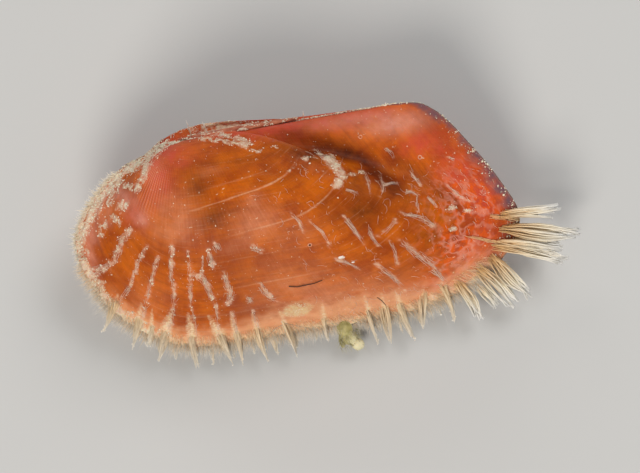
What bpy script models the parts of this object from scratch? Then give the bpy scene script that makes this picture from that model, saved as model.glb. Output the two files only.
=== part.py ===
"""A small closed ark clam shell, lying on its right valve.

The shell frame has its origin on the hinge line at the beaks, +X towards the posterior end, +Y dorsal
and +Z towards the left valve, so the two valves meet at Z = 0. A stand empty then tilts the shell to
the angle at which it lies still, and sets it on the floor, Z = 0, with its bounding box centred.

Each valve is a growth surface. The margin's outline, shrunk towards the beak and turned about the
hinge line, sweeps out every earlier growth stage, from 0 at the beak to 1 at the margin.
"""

import math
import random

import bmesh
import bpy
from mathutils import Matrix, Vector

MM = 0.001

# The margin's outline in the shell frame, in mm, anticlockwise seen from the right: hinge line at the
# beak, anterior end, straight ventral margin, posterior tip, and back along the hinge line.
OUTLINE_MM = (
    (0.0, 0.0),
    (-1.0, 0.0),
    (-2.0, -0.4),
    (-3.0, -0.8),
    (-4.3, -1.85),
    (-5.05, -2.95),
    (-5.2, -3.8),
    (-5.0, -4.85),
    (-4.25, -6.4),
    (-2.9, -7.75),
    (-1.0, -8.6),
    (3.0, -8.7),
    (7.1, -8.72),
    (9.2, -8.4),
    (10.95, -7.65),
    (12.15, -6.6),
    (12.62, -5.4),
    (12.1, -3.95),
    (11.2, -2.3),
    (9.9, -0.5),
    (8.4, 0.0),
    (4.0, 0.0),
)

# Growth: how far the beak has turned away from the margin's plane, how the turning is spread over the
# stages, and how far each beak stands from the other valve's plane.
GROWTH_TURN = math.radians(130)
GROWTH_SPREAD = 1.5
BEAK_OFFSET = 0.5 * MM
FIRST_STAGE = 0.03
STAGE_SPREAD = 0.85

# Radial relief: angle below the hinge line at mid growth, how far the angle drifts over the growth,
# the height and angular width of the ridge or groove, and how late in the growth it is highest.
EARLY, LATE = 0.8, 1.5
UMBONAL_RIDGE = (math.radians(-31), math.radians(-8), 0.28 * MM, math.radians(8.5), EARLY)
POSTERIOR_GROOVE = (math.radians(-17.5), math.radians(-14), -0.40 * MM, math.radians(6), EARLY)
DORSAL_FOLD = (math.radians(-6.5), math.radians(-3), 0.34 * MM, math.radians(6), LATE)
RADIAL_FORMS = (UMBONAL_RIDGE, POSTERIOR_GROOVE, DORSAL_FOLD)
MID_GROWTH = 0.55

# Growth ledges: the stage at which growth paused, and the step that it left.
LEDGES = ((0.46, 0.05 * MM), (0.63, 0.07 * MM), (0.8, 0.08 * MM), (0.92, 0.07 * MM))
LEDGE_HALF_WIDTH = 0.009
LEDGE_REACH = 0.12
LEDGE_FADE = 1 * MM

VALVE_COLUMNS = 52
TURN_SAMPLES = 800
VALVE_STAGES = 13
CAVITY_COLUMNS = 42
CAVITY_STAGES = 8
CAVITY_FIRST = 0.06

# The hollow is the same form, shrunk about this point.
CAVITY_CENTRE = Vector((4.0, -4.2, 0.0)) * MM
CAVITY_SHRINK = Vector((0.94, 0.875, 0.85))
CAVITY_OVERSHOOT = 0.2 * MM

COMMISSURE_GAP = 0.06 * MM

# Tufts of bristles on the left valve's margin, in mm: root, tip, root width and tip width.
LEFT_TUFTS_MM = (
    ((-4.35, -6.55), (-4.73, -7.15), 0.26, 0.08),
    ((-3.32, -7.17), (-3.74, -8.19), 0.30, 0.06),
    ((-2.84, -7.47), (-3.04, -8.15), 0.20, 0.12),
    ((-2.21, -7.58), (-2.78, -8.79), 0.30, 0.06),
    ((-1.22, -7.98), (-1.26, -9.41), 0.34, 0.14),
    ((-0.16, -8.17), (0.22, -9.51), 0.32, 0.06),
    ((0.51, -8.29), (0.57, -9.62), 0.28, 0.06),
    ((1.42, -8.46), (1.58, -9.67), 0.28, 0.08),
    ((2.57, -8.5), (2.79, -9.68), 0.26, 0.06),
    ((4.10, -8.5), (4.09, -9.25), 0.26, 0.12),
    ((5.94, -8.5), (6.08, -9.8), 0.24, 0.08),
    ((6.54, -8.5), (6.56, -9.78), 0.22, 0.06),
    ((7.26, -8.5), (7.52, -9.83), 0.24, 0.10),
    ((8.10, -8.5), (7.95, -9.45), 0.22, 0.08),
    ((9.10, -8.3), (9.29, -9.48), 0.26, 0.10),
    ((9.75, -8.0), (10.31, -9.46), 0.26, 0.36),
    ((10.75, -7.55), (11.79, -9.10), 0.26, 0.46),
    ((11.38, -7.20), (12.51, -8.89), 0.24, 0.34),
    ((11.60, -6.45), (14.30, -7.35), 0.26, 0.95),
    ((12.10, -5.90), (14.75, -6.60), 0.24, 0.60),
    ((12.20, -5.25), (14.20, -5.45), 0.20, 0.58),
)
# Tufts on the right valve's margin stand in between: where the first and last are, how many, and how long.
RIGHT_TUFT_SPAN = (-4.0, 8.9)
RIGHT_TUFT_COUNT = 16
RIGHT_TUFT_LENGTHS_MM = (0.75, 1.0, 0.85)
RIGHT_TUFT_WIDTHS_MM = (0.28, 0.07)
RIGHT_TUFT_LEAN = 0.012
RIGHT_TUFT_MIDDLE = 3.0
RIGHT_TUFT_INSET = 0.985
VENTRAL_LINE = -8.7
BYSSUS_CLEARANCE = 0.8
RIGHT_FANS_MM = (
    ((10.35, -7.75), (11.15, -9.25), 0.26, 0.40),
    ((11.90, -6.10), (14.00, -6.75), 0.20, 0.40),
)
TUFT_SIDES = 6
TUFT_FLATNESS = 0.42
TUFT_CLEARANCE = 0.7
TUFT_THINNEST = 0.09 * MM
TUFT_HEIGHT = 0.16 * MM
TUFT_SPLAY = 0.05
TUFT_ROOT_DEPTH = 0.3 * MM

# Crusted radial rows of bristles on each valve: margin place of each row in mm, and the stages it spans.
CRUST_ROWS_MM = (
    (-4.9, -5.2),
    (-4.3, -6.4),
    (-3.3, -7.4),
    (-2.2, -8.1),
    (-1.1, -8.5),
    (0.1, -8.7),
    (1.3, -8.7),
)
CRUST_ROW_STAGES = ((0.64, 0.78), (0.8, 0.94))
CRUST_ROW_WIDTH = 0.11 * MM
CRUST_ROW_HEIGHT = 0.07 * MM

# Lumps of crust on the anterior slope.
LUMP_COUNT = 12
LUMP_TURNS = (0.045, 0.20)
LUMP_STAGES = ((0.92, 0.96), (0.72, 0.78))
LUMP_RADII = (0.14 * MM, 0.22 * MM)
LUMP_STRETCH = (1.0, 1.3, 0.6)
LUMP_GRAIN = Vector((0.3, 1.0, 0.2))
LUMP_SEED = 7

# Byssal gape and the torn stub of threads in it.
BYSSUS_CENTRE = Vector((4.95, -8.85, 0.0)) * MM
BYSSUS_RADII = Vector((0.42, 0.62, 0.26)) * MM
BYSSUS_TIP_CENTRE = Vector((5.25, -9.55, 0.04)) * MM
BYSSUS_TIP_RADII = Vector((0.26, 0.34, 0.2)) * MM
BYSSUS_STRAND_CENTRE = Vector((4.62, -9.2, -0.03)) * MM
BYSSUS_STRAND_RADII = Vector((0.16, 0.5, 0.14)) * MM
BYSSUS_LEAN = Vector((0.15, 1, 0))
GAPE_CLEARANCE = 0.05 * MM

# Ligament on the cardinal area.
LIGAMENT_CENTRE = Vector((2.1, 0.1, 0.0)) * MM
LIGAMENT_RADII = Vector((2.5, 0.07, 0.26)) * MM

# The angle about X at which the shell lies still, how far the floor is below the beaks, and the block
# that cuts the flat spot.
REST_TILT = math.radians(24)
FLOOR_BELOW_BEAKS = 4.48 * MM
FLOOR_BLOCK = 30 * MM

COLLECTION = "ark_clam_shell"


def clear_scene():
    for old in list(bpy.data.objects):
        bpy.data.objects.remove(old, do_unlink=True)


def new_collection(name):
    collection = bpy.data.collections.new(name)
    bpy.context.scene.collection.children.link(collection)
    return collection


def make_material(name, colour, roughness):
    material = bpy.data.materials.new(name)
    material.use_nodes = True
    shader = material.node_tree.nodes["Principled BSDF"]
    shader.inputs["Base Color"].default_value = (*colour, 1.0)
    shader.inputs["Roughness"].default_value = roughness
    shader.inputs["Metallic"].default_value = 0.0
    return material


def outline_point(turn):
    """The margin at a share of the way round, on a smooth curve that never rises over the hinge line."""
    count = len(OUTLINE_MM)
    points = [Vector(p) * MM for p in OUTLINE_MM]
    spans = [(points[(i + 1) % count] - points[i]).length for i in range(count)]
    along = (turn % 1.0) * sum(spans)
    index = 0
    while along > spans[index] and index < count - 1:
        along -= spans[index]
        index += 1
    share = along / spans[index]
    before, start, end, after = (points[(index + k) % count] for k in (-1, 0, 1, 2))
    bend = 2 * before - 5 * start + 4 * end - after
    swing = 3 * start - before - 3 * end + after
    point = 0.5 * (2 * start + (end - before) * share + bend * share**2 + swing * share**3)
    return Vector((point.x, min(point.y, 0.0)))


def turn_near(place):
    """The share of the way round at which the margin passes closest to a place in mm."""
    target = Vector(place) * MM
    samples = [i / TURN_SAMPLES for i in range(TURN_SAMPLES)]
    return min(samples, key=lambda turn: (outline_point(turn) - target).length)


def ledge_height(stage):
    """Each ledge swells slowly up to its stage and then drops."""
    height = 0.0
    for ledge, step in LEDGES:
        rise = (stage - (ledge - LEDGE_REACH)) / LEDGE_REACH
        if 0.0 < rise <= 1.0:
            height += step * rise**2
    return height


def valve_point(stage, turn, ledges=True):
    """A point of the left valve's outer surface."""
    margin = outline_point(turn)
    swing = GROWTH_TURN * (1 - stage) ** GROWTH_SPREAD
    x = stage * margin.x
    y = stage * margin.y * math.cos(swing)
    z = -stage * margin.y * math.sin(swing) + BEAK_OFFSET * (1 - stage)
    angle = math.atan2(margin.y, margin.x)
    relief = 0.0
    for centre, drift, height, width, peak in RADIAL_FORMS:
        fade = math.sin(math.pi * stage**peak)
        offset = angle - centre - drift * (stage - MID_GROWTH)
        relief += fade * height * math.exp(-((offset / width) ** 2))
    if ledges and margin.y < 0:
        relief += ledge_height(stage) * min(1.0, -margin.y / LEDGE_FADE)
    y += relief * math.sin(swing)
    z += relief * math.cos(swing)
    return Vector((x, y, z + COMMISSURE_GAP / 2))


def outward(stage, turn):
    """The direction away from the valve at a growth stage and turn."""
    step = 0.01
    along = valve_point(stage + step, turn, False) - valve_point(stage - step, turn, False)
    across = valve_point(stage, turn + step, False) - valve_point(stage, turn - step, False)
    normal = across.cross(along).normalized()
    middle = valve_point(stage, turn, False) - CAVITY_CENTRE
    return normal if normal.dot(middle) > 0 else -normal


def stages_with_ledges(count):
    """Rows from beak to margin, with two close rows at each ledge."""
    first, last = FIRST_STAGE, 1.0
    rows = [first + (last - first) * (i / count) ** STAGE_SPREAD for i in range(count + 1)]
    clear = 2.5 * LEDGE_HALF_WIDTH
    rows = [r for r in rows if all(abs(r - ledge) > clear for ledge, _ in LEDGES)]
    for ledge, _ in LEDGES:
        rows += [ledge - LEDGE_HALF_WIDTH / 4, ledge + LEDGE_HALF_WIDTH]
    return sorted(rows)


def growth_solid(name, columns, rows, shape, rim_drop=0.0):
    """A closed bowl: a grid rolled round the beak, capped at the margin."""
    mesh = bpy.data.meshes.new(name)
    bm = bmesh.new()
    bmesh.ops.create_grid(bm, x_segments=columns, y_segments=len(rows) - 1, size=1)
    for vert in bm.verts:
        turn = (vert.co.x + 1) / 2
        row = round((vert.co.y + 1) / 2 * (len(rows) - 1))
        vert.co = shape(rows[row], turn)
        if row == len(rows) - 1:
            vert.co.z -= rim_drop
    bmesh.ops.remove_doubles(bm, verts=bm.verts, dist=1e-7)
    bmesh.ops.holes_fill(bm, edges=[e for e in bm.edges if e.is_boundary], sides=0)
    bmesh.ops.triangulate(bm, faces=[f for f in bm.faces if len(f.verts) > 4])
    bmesh.ops.recalc_face_normals(bm, faces=bm.faces)
    bm.to_mesh(mesh)
    bm.free()
    return bpy.data.objects.new(name, mesh)


def ball_mesh(bm, matrix, segments=8, rings=6):
    bmesh.ops.create_uvsphere(bm, u_segments=segments, v_segments=rings, radius=1.0, matrix=matrix)


def placed(centre, radii, along=Vector((0, 1, 0)), up=Vector((0, 0, 1))):
    """A matrix that puts a unit form at centre, stretched along, across and up."""
    side = along.cross(up).normalized()
    top = side.cross(along).normalized()
    turned = Matrix((side, along.normalized(), top)).transposed().to_4x4()
    return Matrix.Translation(centre) @ turned @ Matrix.Diagonal((*radii, 1.0))


def tuft_into(bm, root, tip, root_width, tip_width, side):
    """One flat tapered tuft, rooted inside the valve's edge and splayed a little off the plane."""
    start = Vector((*root, 0)) * MM
    end = Vector((*tip, 0)) * MM
    length = (end - start).length
    heading = (end - start) / length
    start -= heading * TUFT_ROOT_DEPTH
    start.z = side * TUFT_HEIGHT
    end.z = side * (TUFT_HEIGHT + TUFT_SPLAY * length)
    along = end - start
    middle = (start + end) / 2
    made = bmesh.ops.create_cone(
        bm,
        cap_ends=True,
        segments=TUFT_SIDES,
        radius1=root_width * MM / 2,
        radius2=tip_width * MM / 2,
        depth=along.length,
    )
    across = along.cross(Vector((0, 0, 1))).normalized()
    up = across.cross(along).normalized()
    turned = Matrix((across, up, along.normalized())).transposed().to_4x4()
    widest = max(root_width, tip_width) * MM / 2
    flat = min(1.0, TUFT_HEIGHT * TUFT_CLEARANCE / widest, max(TUFT_FLATNESS, TUFT_THINNEST / widest))
    matrix = Matrix.Translation(middle) @ turned @ Matrix.Diagonal((1, flat, 1, 1))
    bmesh.ops.transform(bm, matrix=matrix, verts=made["verts"])


def right_tufts():
    """Tufts at even steps along the ventral margin of the right valve, leaning out from its middle."""
    first, last = RIGHT_TUFT_SPAN
    tufts = list(RIGHT_FANS_MM)
    for i in range(RIGHT_TUFT_COUNT):
        x = first + (last - first) * i / (RIGHT_TUFT_COUNT - 1)
        turn = turn_near((x, VENTRAL_LINE))
        margin = outline_point(turn) / MM
        inner = margin * RIGHT_TUFT_INSET
        length = RIGHT_TUFT_LENGTHS_MM[i % len(RIGHT_TUFT_LENGTHS_MM)]
        lean = Vector((RIGHT_TUFT_LEAN * (x - RIGHT_TUFT_MIDDLE), -1.0)).normalized()
        near_byssus = abs(inner.x - BYSSUS_CENTRE.x / MM) < BYSSUS_CLEARANCE
        if not near_byssus:
            tufts.append((tuple(inner), tuple(inner + lean * length), *RIGHT_TUFT_WIDTHS_MM))
    return tufts


def cutter(name, bm, collection):
    mesh = bpy.data.meshes.new(name)
    bmesh.ops.recalc_face_normals(bm, faces=bm.faces)
    bm.to_mesh(mesh)
    bm.free()
    return keep_as_cutter(bpy.data.objects.new(name, mesh), collection)


def keep_as_cutter(obj, collection):
    obj.hide_render = True
    obj.display_type = "WIRE"
    collection.objects.link(obj)
    return obj


def join_or_cut(obj, other, operation, crossing=False):
    modifier = obj.modifiers.new(other.name, "BOOLEAN")
    modifier.object = other
    modifier.operation = operation
    modifier.solver = "EXACT"
    modifier.use_self = crossing


def tufts_cutter(name, tufts, side, collection):
    bm = bmesh.new()
    for root, tip, root_width, tip_width in tufts:
        tuft_into(bm, root, tip, root_width, tip_width, side)
    return cutter(name, bm, collection)


def mirrored(vector, side):
    return Vector((vector.x, vector.y, side * vector.z))


def rows_cutter(name, side, collection):
    """Radial rows of crusted bristles."""
    bm = bmesh.new()
    for place in CRUST_ROWS_MM:
        turn = turn_near(place)
        for first, last in CRUST_ROW_STAGES:
            start = mirrored(valve_point(first, turn), side)
            end = mirrored(valve_point(last, turn), side)
            crown = mirrored(valve_point((first + last) / 2, turn), side)
            middle = (start + end + 2 * crown) / 4
            up = mirrored(outward((first + last) / 2, turn), side)
            radii = (CRUST_ROW_WIDTH, (end - start).length / 2, CRUST_ROW_HEIGHT)
            ball_mesh(bm, placed(middle, radii, end - start, up), 6, 4)
    return cutter(name, bm, collection)


def lumps_cutter(name, side, collection):
    """Lumps of crust on the anterior slope, one near the margin and the next further up."""
    bm = bmesh.new()
    draw = random.Random(LUMP_SEED)
    for i in range(LUMP_COUNT):
        turn = LUMP_TURNS[0] + (LUMP_TURNS[1] - LUMP_TURNS[0]) * (i + 0.5) / LUMP_COUNT
        stage = draw.uniform(*LUMP_STAGES[i % 2])
        radius = draw.uniform(*LUMP_RADII)
        up = mirrored(outward(stage, turn), side)
        centre = mirrored(valve_point(stage, turn), side)
        radii = [radius * share for share in LUMP_STRETCH]
        ball_mesh(bm, placed(centre, radii, up.cross(LUMP_GRAIN), up), 7, 5)
    return cutter(name, bm, collection)


def shade(obj, angle=math.radians(35)):
    obj.data.shade_smooth()
    obj.data.set_sharp_from_angle(angle=angle)


def make_valve(name, side, tufts, material, parts, cutters):
    """One valve: side is 1 for the left and -1 for the right."""

    def outer(stage, turn):
        return mirrored(valve_point(stage, turn), side)

    def inner(stage, turn):
        away = valve_point(stage, turn, False) - CAVITY_CENTRE
        shrunk = Vector([a * k for a, k in zip(away, CAVITY_SHRINK)])
        return mirrored(CAVITY_CENTRE + shrunk, side)

    rows = stages_with_ledges(VALVE_STAGES)
    valve = growth_solid(name, VALVE_COLUMNS, rows, outer)
    parts.objects.link(valve)
    cavity_rows = [CAVITY_FIRST + (1 - CAVITY_FIRST) * i / CAVITY_STAGES for i in range(CAVITY_STAGES + 1)]
    hollow = growth_solid(name + "_hollow", CAVITY_COLUMNS, cavity_rows, inner, side * CAVITY_OVERSHOOT)
    keep_as_cutter(hollow, cutters)
    join_or_cut(valve, hollow, "DIFFERENCE")
    join_or_cut(valve, rows_cutter(name + "_rows", side, cutters), "UNION")
    join_or_cut(valve, lumps_cutter(name + "_lumps", side, cutters), "UNION", crossing=True)
    join_or_cut(valve, tufts_cutter(name + "_tufts", tufts, side, cutters), "UNION")
    bm = bmesh.new()
    ball_mesh(bm, placed(BYSSUS_CENTRE, BYSSUS_RADII + Vector([GAPE_CLEARANCE] * 3)), 12, 8)
    join_or_cut(valve, cutter(name + "_gape", bm, cutters), "DIFFERENCE")
    valve.data.materials.append(material)
    shade(valve)
    return valve


def make_ligament(material, parts):
    mesh = bpy.data.meshes.new("ligament")
    bm = bmesh.new()
    ball_mesh(bm, placed(LIGAMENT_CENTRE, LIGAMENT_RADII, Vector((0, 1, 0))), 14, 8)
    bm.to_mesh(mesh)
    bm.free()
    ligament = bpy.data.objects.new("ligament", mesh)
    parts.objects.link(ligament)
    ligament.data.materials.append(material)
    shade(ligament)
    return ligament


def make_byssus(material, parts, cutters):
    """The stub's body, with a torn strand and a tip lump grown into it."""
    mesh = bpy.data.meshes.new("byssus")
    bm = bmesh.new()
    ball_mesh(bm, placed(BYSSUS_CENTRE, BYSSUS_RADII), 10, 7)
    bm.to_mesh(mesh)
    bm.free()
    byssus = bpy.data.objects.new("byssus", mesh)
    parts.objects.link(byssus)
    lumps = ((BYSSUS_TIP_CENTRE, BYSSUS_TIP_RADII), (BYSSUS_STRAND_CENTRE, BYSSUS_STRAND_RADII))
    for i, (centre, radii) in enumerate(lumps):
        bm = bmesh.new()
        ball_mesh(bm, placed(centre, radii, BYSSUS_LEAN), 8, 6)
        join_or_cut(byssus, cutter(f"byssus_lump_{i}", bm, cutters), "UNION")
    byssus.data.materials.append(material)
    shade(byssus)
    return byssus


def cut_flat_spot(valve, stand, cutters):
    """The floor, as a block, takes off the lowest part of the right valve."""
    bm = bmesh.new()
    bmesh.ops.create_cube(bm, size=FLOOR_BLOCK)
    block = cutter("floor_block", bm, cutters)
    block.parent = stand
    block.location = (0, 0, -FLOOR_BELOW_BEAKS - FLOOR_BLOCK / 2)
    join_or_cut(valve, block, "DIFFERENCE")


def centre_on_floor(stand, pieces):
    """Moves the stand so that the pieces' box is centred over the origin and the flat spot is at Z = 0."""
    stand.location = (0, 0, FLOOR_BELOW_BEAKS)
    graph = bpy.context.evaluated_depsgraph_get()
    corners = []
    for piece in pieces:
        solid = piece.evaluated_get(graph)
        corners += [solid.matrix_world @ v.co for v in solid.data.vertices]
    for axis in (0, 1):
        values = [c[axis] for c in corners]
        stand.location[axis] -= (min(values) + max(values)) / 2


def main():
    clear_scene()
    parts = new_collection(COLLECTION)
    cutters = new_collection(COLLECTION + "_cutters")
    left_shell = make_material("orange_shell", (0.46, 0.11, 0.015), 0.4)
    right_shell = make_material("orange_shell_underside", (0.42, 0.1, 0.02), 0.45)
    dark_ligament = make_material("ligament", (0.1, 0.045, 0.02), 0.6)
    olive_threads = make_material("byssus_threads", (0.18, 0.17, 0.06), 0.7)

    left = make_valve("left_valve", 1, LEFT_TUFTS_MM, left_shell, parts, cutters)
    right = make_valve("right_valve", -1, right_tufts(), right_shell, parts, cutters)
    ligament = make_ligament(dark_ligament, parts)
    byssus = make_byssus(olive_threads, parts, cutters)
    pieces = [left, right, ligament, byssus]

    stand = bpy.data.objects.new("stand", None)
    tilt = bpy.data.objects.new("shell_tilt", None)
    parts.objects.link(stand)
    parts.objects.link(tilt)
    tilt.parent = stand
    tilt.rotation_euler = (REST_TILT, 0, 0)
    for piece in pieces + [c for c in cutters.objects]:
        piece.parent = tilt
    cut_flat_spot(right, stand, cutters)
    centre_on_floor(stand, pieces)
    bpy.context.view_layer.update()


main()
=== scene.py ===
"""Dresses a small ark clam shell, laid on its right valve: ribbed walls, bristles, silt crust and stage."""

import math

import bpy
import numpy as np
from mathutils import Matrix, Vector, kdtree, noise


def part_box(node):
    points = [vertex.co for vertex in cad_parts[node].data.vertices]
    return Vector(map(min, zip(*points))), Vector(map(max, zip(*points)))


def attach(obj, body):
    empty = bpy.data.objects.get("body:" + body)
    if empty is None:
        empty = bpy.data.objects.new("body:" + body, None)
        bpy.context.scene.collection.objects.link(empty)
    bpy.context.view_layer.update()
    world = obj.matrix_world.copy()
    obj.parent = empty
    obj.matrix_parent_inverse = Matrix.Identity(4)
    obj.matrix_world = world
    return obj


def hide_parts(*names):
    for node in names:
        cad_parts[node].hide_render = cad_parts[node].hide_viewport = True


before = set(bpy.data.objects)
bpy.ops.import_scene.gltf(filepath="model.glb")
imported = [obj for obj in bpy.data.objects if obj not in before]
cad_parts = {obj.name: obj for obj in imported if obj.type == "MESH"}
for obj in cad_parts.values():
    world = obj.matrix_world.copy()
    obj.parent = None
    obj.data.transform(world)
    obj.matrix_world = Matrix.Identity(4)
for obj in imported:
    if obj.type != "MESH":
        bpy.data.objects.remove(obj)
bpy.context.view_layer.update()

bl_info = {
    "name": "Ark clam shell dressing",
    "version": (1, 0, 0),
    "blender": (4, 5, 0),
    "location": "View3D > Sidebar > Ark clam",
    "description": "Makes the finished valves, bristles, crust and stage of an ark clam shell",
    "category": "Object",
}

MM = 0.001

# The shell frame, in mm: origin on the hinge line at the beaks, +X posterior, +Y dorsal, +Z left valve.
# The shell lies tilted about X, and the ligament's solid says where it stands.
REST_TILT = math.radians(24)
TILT = Matrix.Rotation(REST_TILT, 3, "X")
LIGAMENT_CENTRE = Vector((2.1, 0.1, 0.0))
LIGAMENT_RADII = np.array((2.5, 0.075, 0.36))
LIGAMENT_LOW, LIGAMENT_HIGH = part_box("ligament")
STAND = (Vector(LIGAMENT_LOW) + Vector(LIGAMENT_HIGH)) / 2 - TILT @ (LIGAMENT_CENTRE * MM)

# The margin's outline in mm, as in the frame: hinge line at the beak, anterior end, ventral margin,
# posterior tip, and back along the hinge line.
OUTLINE = np.array((
    (0.0, 0.0), (-1.0, 0.0), (-2.0, -0.4), (-3.0, -0.8), (-4.3, -1.85), (-5.05, -2.95), (-5.2, -3.8),
    (-5.0, -4.85), (-4.25, -6.4), (-2.9, -7.75), (-1.0, -8.6), (3.0, -8.7), (7.1, -8.72), (9.2, -8.4),
    (10.95, -7.65), (12.15, -6.6), (12.62, -5.4), (12.1, -3.95), (11.2, -2.3), (9.9, -0.5), (8.4, 0.0),
    (4.0, 0.0),
))
GROWTH_TURN = math.radians(130)
GROWTH_SPREAD = 1.5
BEAK_OFFSET = 0.5
MID_GROWTH = 0.55
# The real valves are shut, so the walls keep only this much apart, in mm.
COMMISSURE_GAP = 0.006
# Ridge, furrow and fold: angle below the hinge line, its drift over the growth, height, width, and how
# late in the growth it is highest.
RADIAL_FORMS = ((-31, -8, 0.28, 8.5, 0.8), (-17.5, -14, -0.40, 6, 0.8), (-6.5, -3, 0.34, 6, 1.5))
LEDGES = ((0.46, 0.05), (0.63, 0.07), (0.8, 0.08), (0.92, 0.07))
LEDGE_REACH = 0.12
LEDGE_FALL = 0.022
# The ledges are worn on the dorsal slope, between these angles below the hinge line.
DORSAL_ANGLES = (-34, -22)
LEDGE_EASE = 0.75
CAVITY_CENTRE = np.array((4.0, -4.2, 0.0))
CAVITY_SHRINK = np.array((0.94, 0.875, 0.85))
# From the beak to the ventral margin, in mm.
VENTRAL_REACH = 8.6

# The stages where a wall's grid begins, outside and inside, and how its rows crowd towards the margin.
FIRST_STAGE = 0.03
FIRST_INNER_STAGE = 0.06
STAGE_SPREAD = 0.92

# The photograph looks along this direction in the shell frame, 16 degrees to the dorsal side of the
# commissure's normal. A "seen" place is where that line of sight crosses the commissure plane.
SIGHT_SLOPE = math.tan(math.radians(16))

# Byssal gape: the hole that the threads leave by.
GAPE_CENTRE = np.array((4.95, -8.85, 0.0))
GAPE_RADII = np.array((0.47, 0.67, 0.13))
GAPE_CLEARANCE = 0.8

# Tufts of bristles on the left valve's margin, in mm: root, tip, root width and tip width.
LEFT_TUFTS = (
    ((-4.35, -6.55), (-4.73, -7.15), 0.26, 0.08),
    ((-3.32, -7.17), (-3.74, -8.19), 0.30, 0.06),
    ((-2.84, -7.47), (-3.04, -8.15), 0.20, 0.12),
    ((-2.21, -7.58), (-2.78, -8.79), 0.30, 0.06),
    ((-1.22, -7.98), (-1.26, -9.41), 0.34, 0.14),
    ((-0.16, -8.17), (0.22, -9.51), 0.32, 0.06),
    ((0.51, -8.29), (0.57, -9.62), 0.28, 0.06),
    ((1.42, -8.46), (1.58, -9.67), 0.28, 0.08),
    ((2.57, -8.5), (2.79, -9.68), 0.26, 0.06),
    ((4.10, -8.5), (4.09, -9.25), 0.26, 0.12),
    ((5.94, -8.5), (6.08, -9.8), 0.24, 0.08),
    ((6.54, -8.5), (6.56, -9.78), 0.22, 0.06),
    ((7.26, -8.5), (7.52, -9.83), 0.24, 0.10),
    ((8.10, -8.5), (7.95, -9.45), 0.22, 0.08),
    ((9.10, -8.3), (9.29, -9.48), 0.26, 0.10),
)
# The posterior tufts open into flat fans.
LEFT_FANS = (
    ((9.75, -8.0), (10.31, -9.46), 0.26, 0.36),
    ((10.75, -7.55), (11.79, -9.10), 0.26, 0.46),
    ((11.38, -7.20), (12.51, -8.89), 0.24, 0.34),
    ((11.60, -6.45), (14.30, -7.35), 0.26, 0.95),
    ((12.10, -5.90), (14.75, -6.60), 0.24, 0.60),
    ((12.20, -5.25), (14.20, -5.45), 0.20, 0.58),
)
RIGHT_FANS = (
    ((10.35, -7.75), (11.15, -9.25), 0.26, 0.40),
    ((11.90, -6.10), (14.00, -6.75), 0.20, 0.40),
)
RIGHT_TUFT_SPAN = (-4.0, 8.9)
RIGHT_TUFT_COUNT = 16
RIGHT_TUFT_LENGTHS = (0.75, 1.0, 0.85)
RIGHT_TUFT_WIDTHS = (0.28, 0.07)
RIGHT_TUFT_LEAN = 0.012
RIGHT_TUFT_MIDDLE = 3.0
RIGHT_TUFT_INSET = 0.985
TUFT_HEIGHT = 0.16
TUFT_STEPS = 5
TIP_EVERY = 13

# The byssus stub, in mm: lumps that are merged, each with its middle and radii, the merging grid, and where
# its threads end at the latest.
BYSSUS_LUMPS = (
    ((4.85, -8.85, 0.0), (0.34, 0.46, 0.22)), ((4.98, -9.25, 0.0), (0.32, 0.30, 0.20)),
    ((5.26, -9.58, 0.03), (0.26, 0.24, 0.19)), ((4.66, -9.3, -0.03), (0.15, 0.34, 0.13)),
)
BYSSUS_VOXEL = 0.02
BYSSUS_THREADS = 160
BYSSUS_END = -9.9

# Silt on the ligament: grains that are tried, and the share after which they lie in the seam.
HINGE_GRAINS = 2600
SEAM_FROM = 0.82

# What follows is in seen places. Rows of matted bristles and silt: path, half width in mm and strength.
ROWS = (
    (((-5.41, -4.67), (-4.6, -4.69), (-3.75, -4.43), (-3.2, -3.6), (-2.83, -3.33)), 0.18, 1.0),
    (((-2.26, -4.03), (-2.76, -4.61), (-3.18, -5.42), (-3.48, -5.74), (-3.97, -6.21),
      (-4.62, -6.72)), 0.1, 0.8),
    (((-1.9, -4.56), (-2.19, -5.05), (-2.45, -5.64), (-2.79, -6.42), (-3.2, -7.19),
      (-3.69, -7.95)), 0.1, 0.75),
    (((-1.28, -4.25), (-1.53, -5.26), (-1.54, -6.02), (-1.76, -6.82), (-2.15, -7.72),
      (-2.73, -8.76)), 0.11, 0.8),
    (((-0.72, -4.56), (-0.77, -5.31), (-0.91, -6.13), (-1.01, -6.75)), 0.1, 0.7),
    (((-0.15, -4.79), (-0.33, -5.6)), 0.06, 0.6),
    (((0.12, -4.63), (0.15, -5.14), (0.15, -5.4)), 0.1, 0.9),
    (((-0.6, -5.51), (-0.31, -5.73), (-0.16, -6.27), (-0.15, -6.69)), 0.13, 1.0),
    (((-0.03, -6.72), (-0.09, -7.55), (-0.23, -8.58)), 0.07, 0.7),
    (((0.56, -5.64), (0.55, -6.15), (0.61, -6.54), (0.46, -6.93)), 0.14, 0.95),
    (((0.53, -7.24), (0.55, -8.09), (0.55, -9.02)), 0.08, 0.75),
    (((-1.01, -6.75), (-0.99, -7.6), (-1.17, -8.62)), 0.06, 0.6),
    (((1.36, -7.39), (1.41, -8.04), (1.45, -8.97)), 0.07, 0.7),
    (((1.83, -6.3), (2.06, -6.85), (2.32, -7.19)), 0.11, 0.8),
    (((2.45, -8.1), (2.58, -8.55), (2.71, -9.25)), 0.08, 0.7),
    (((0.4, -4.43), (0.55, -4.71)), 0.12, 0.8),
    (((1.84, -4.78), (2.12, -5.04)), 0.12, 0.6),
    (((1.21, -6.82), (1.46, -6.99)), 0.12, 0.6),
)

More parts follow.
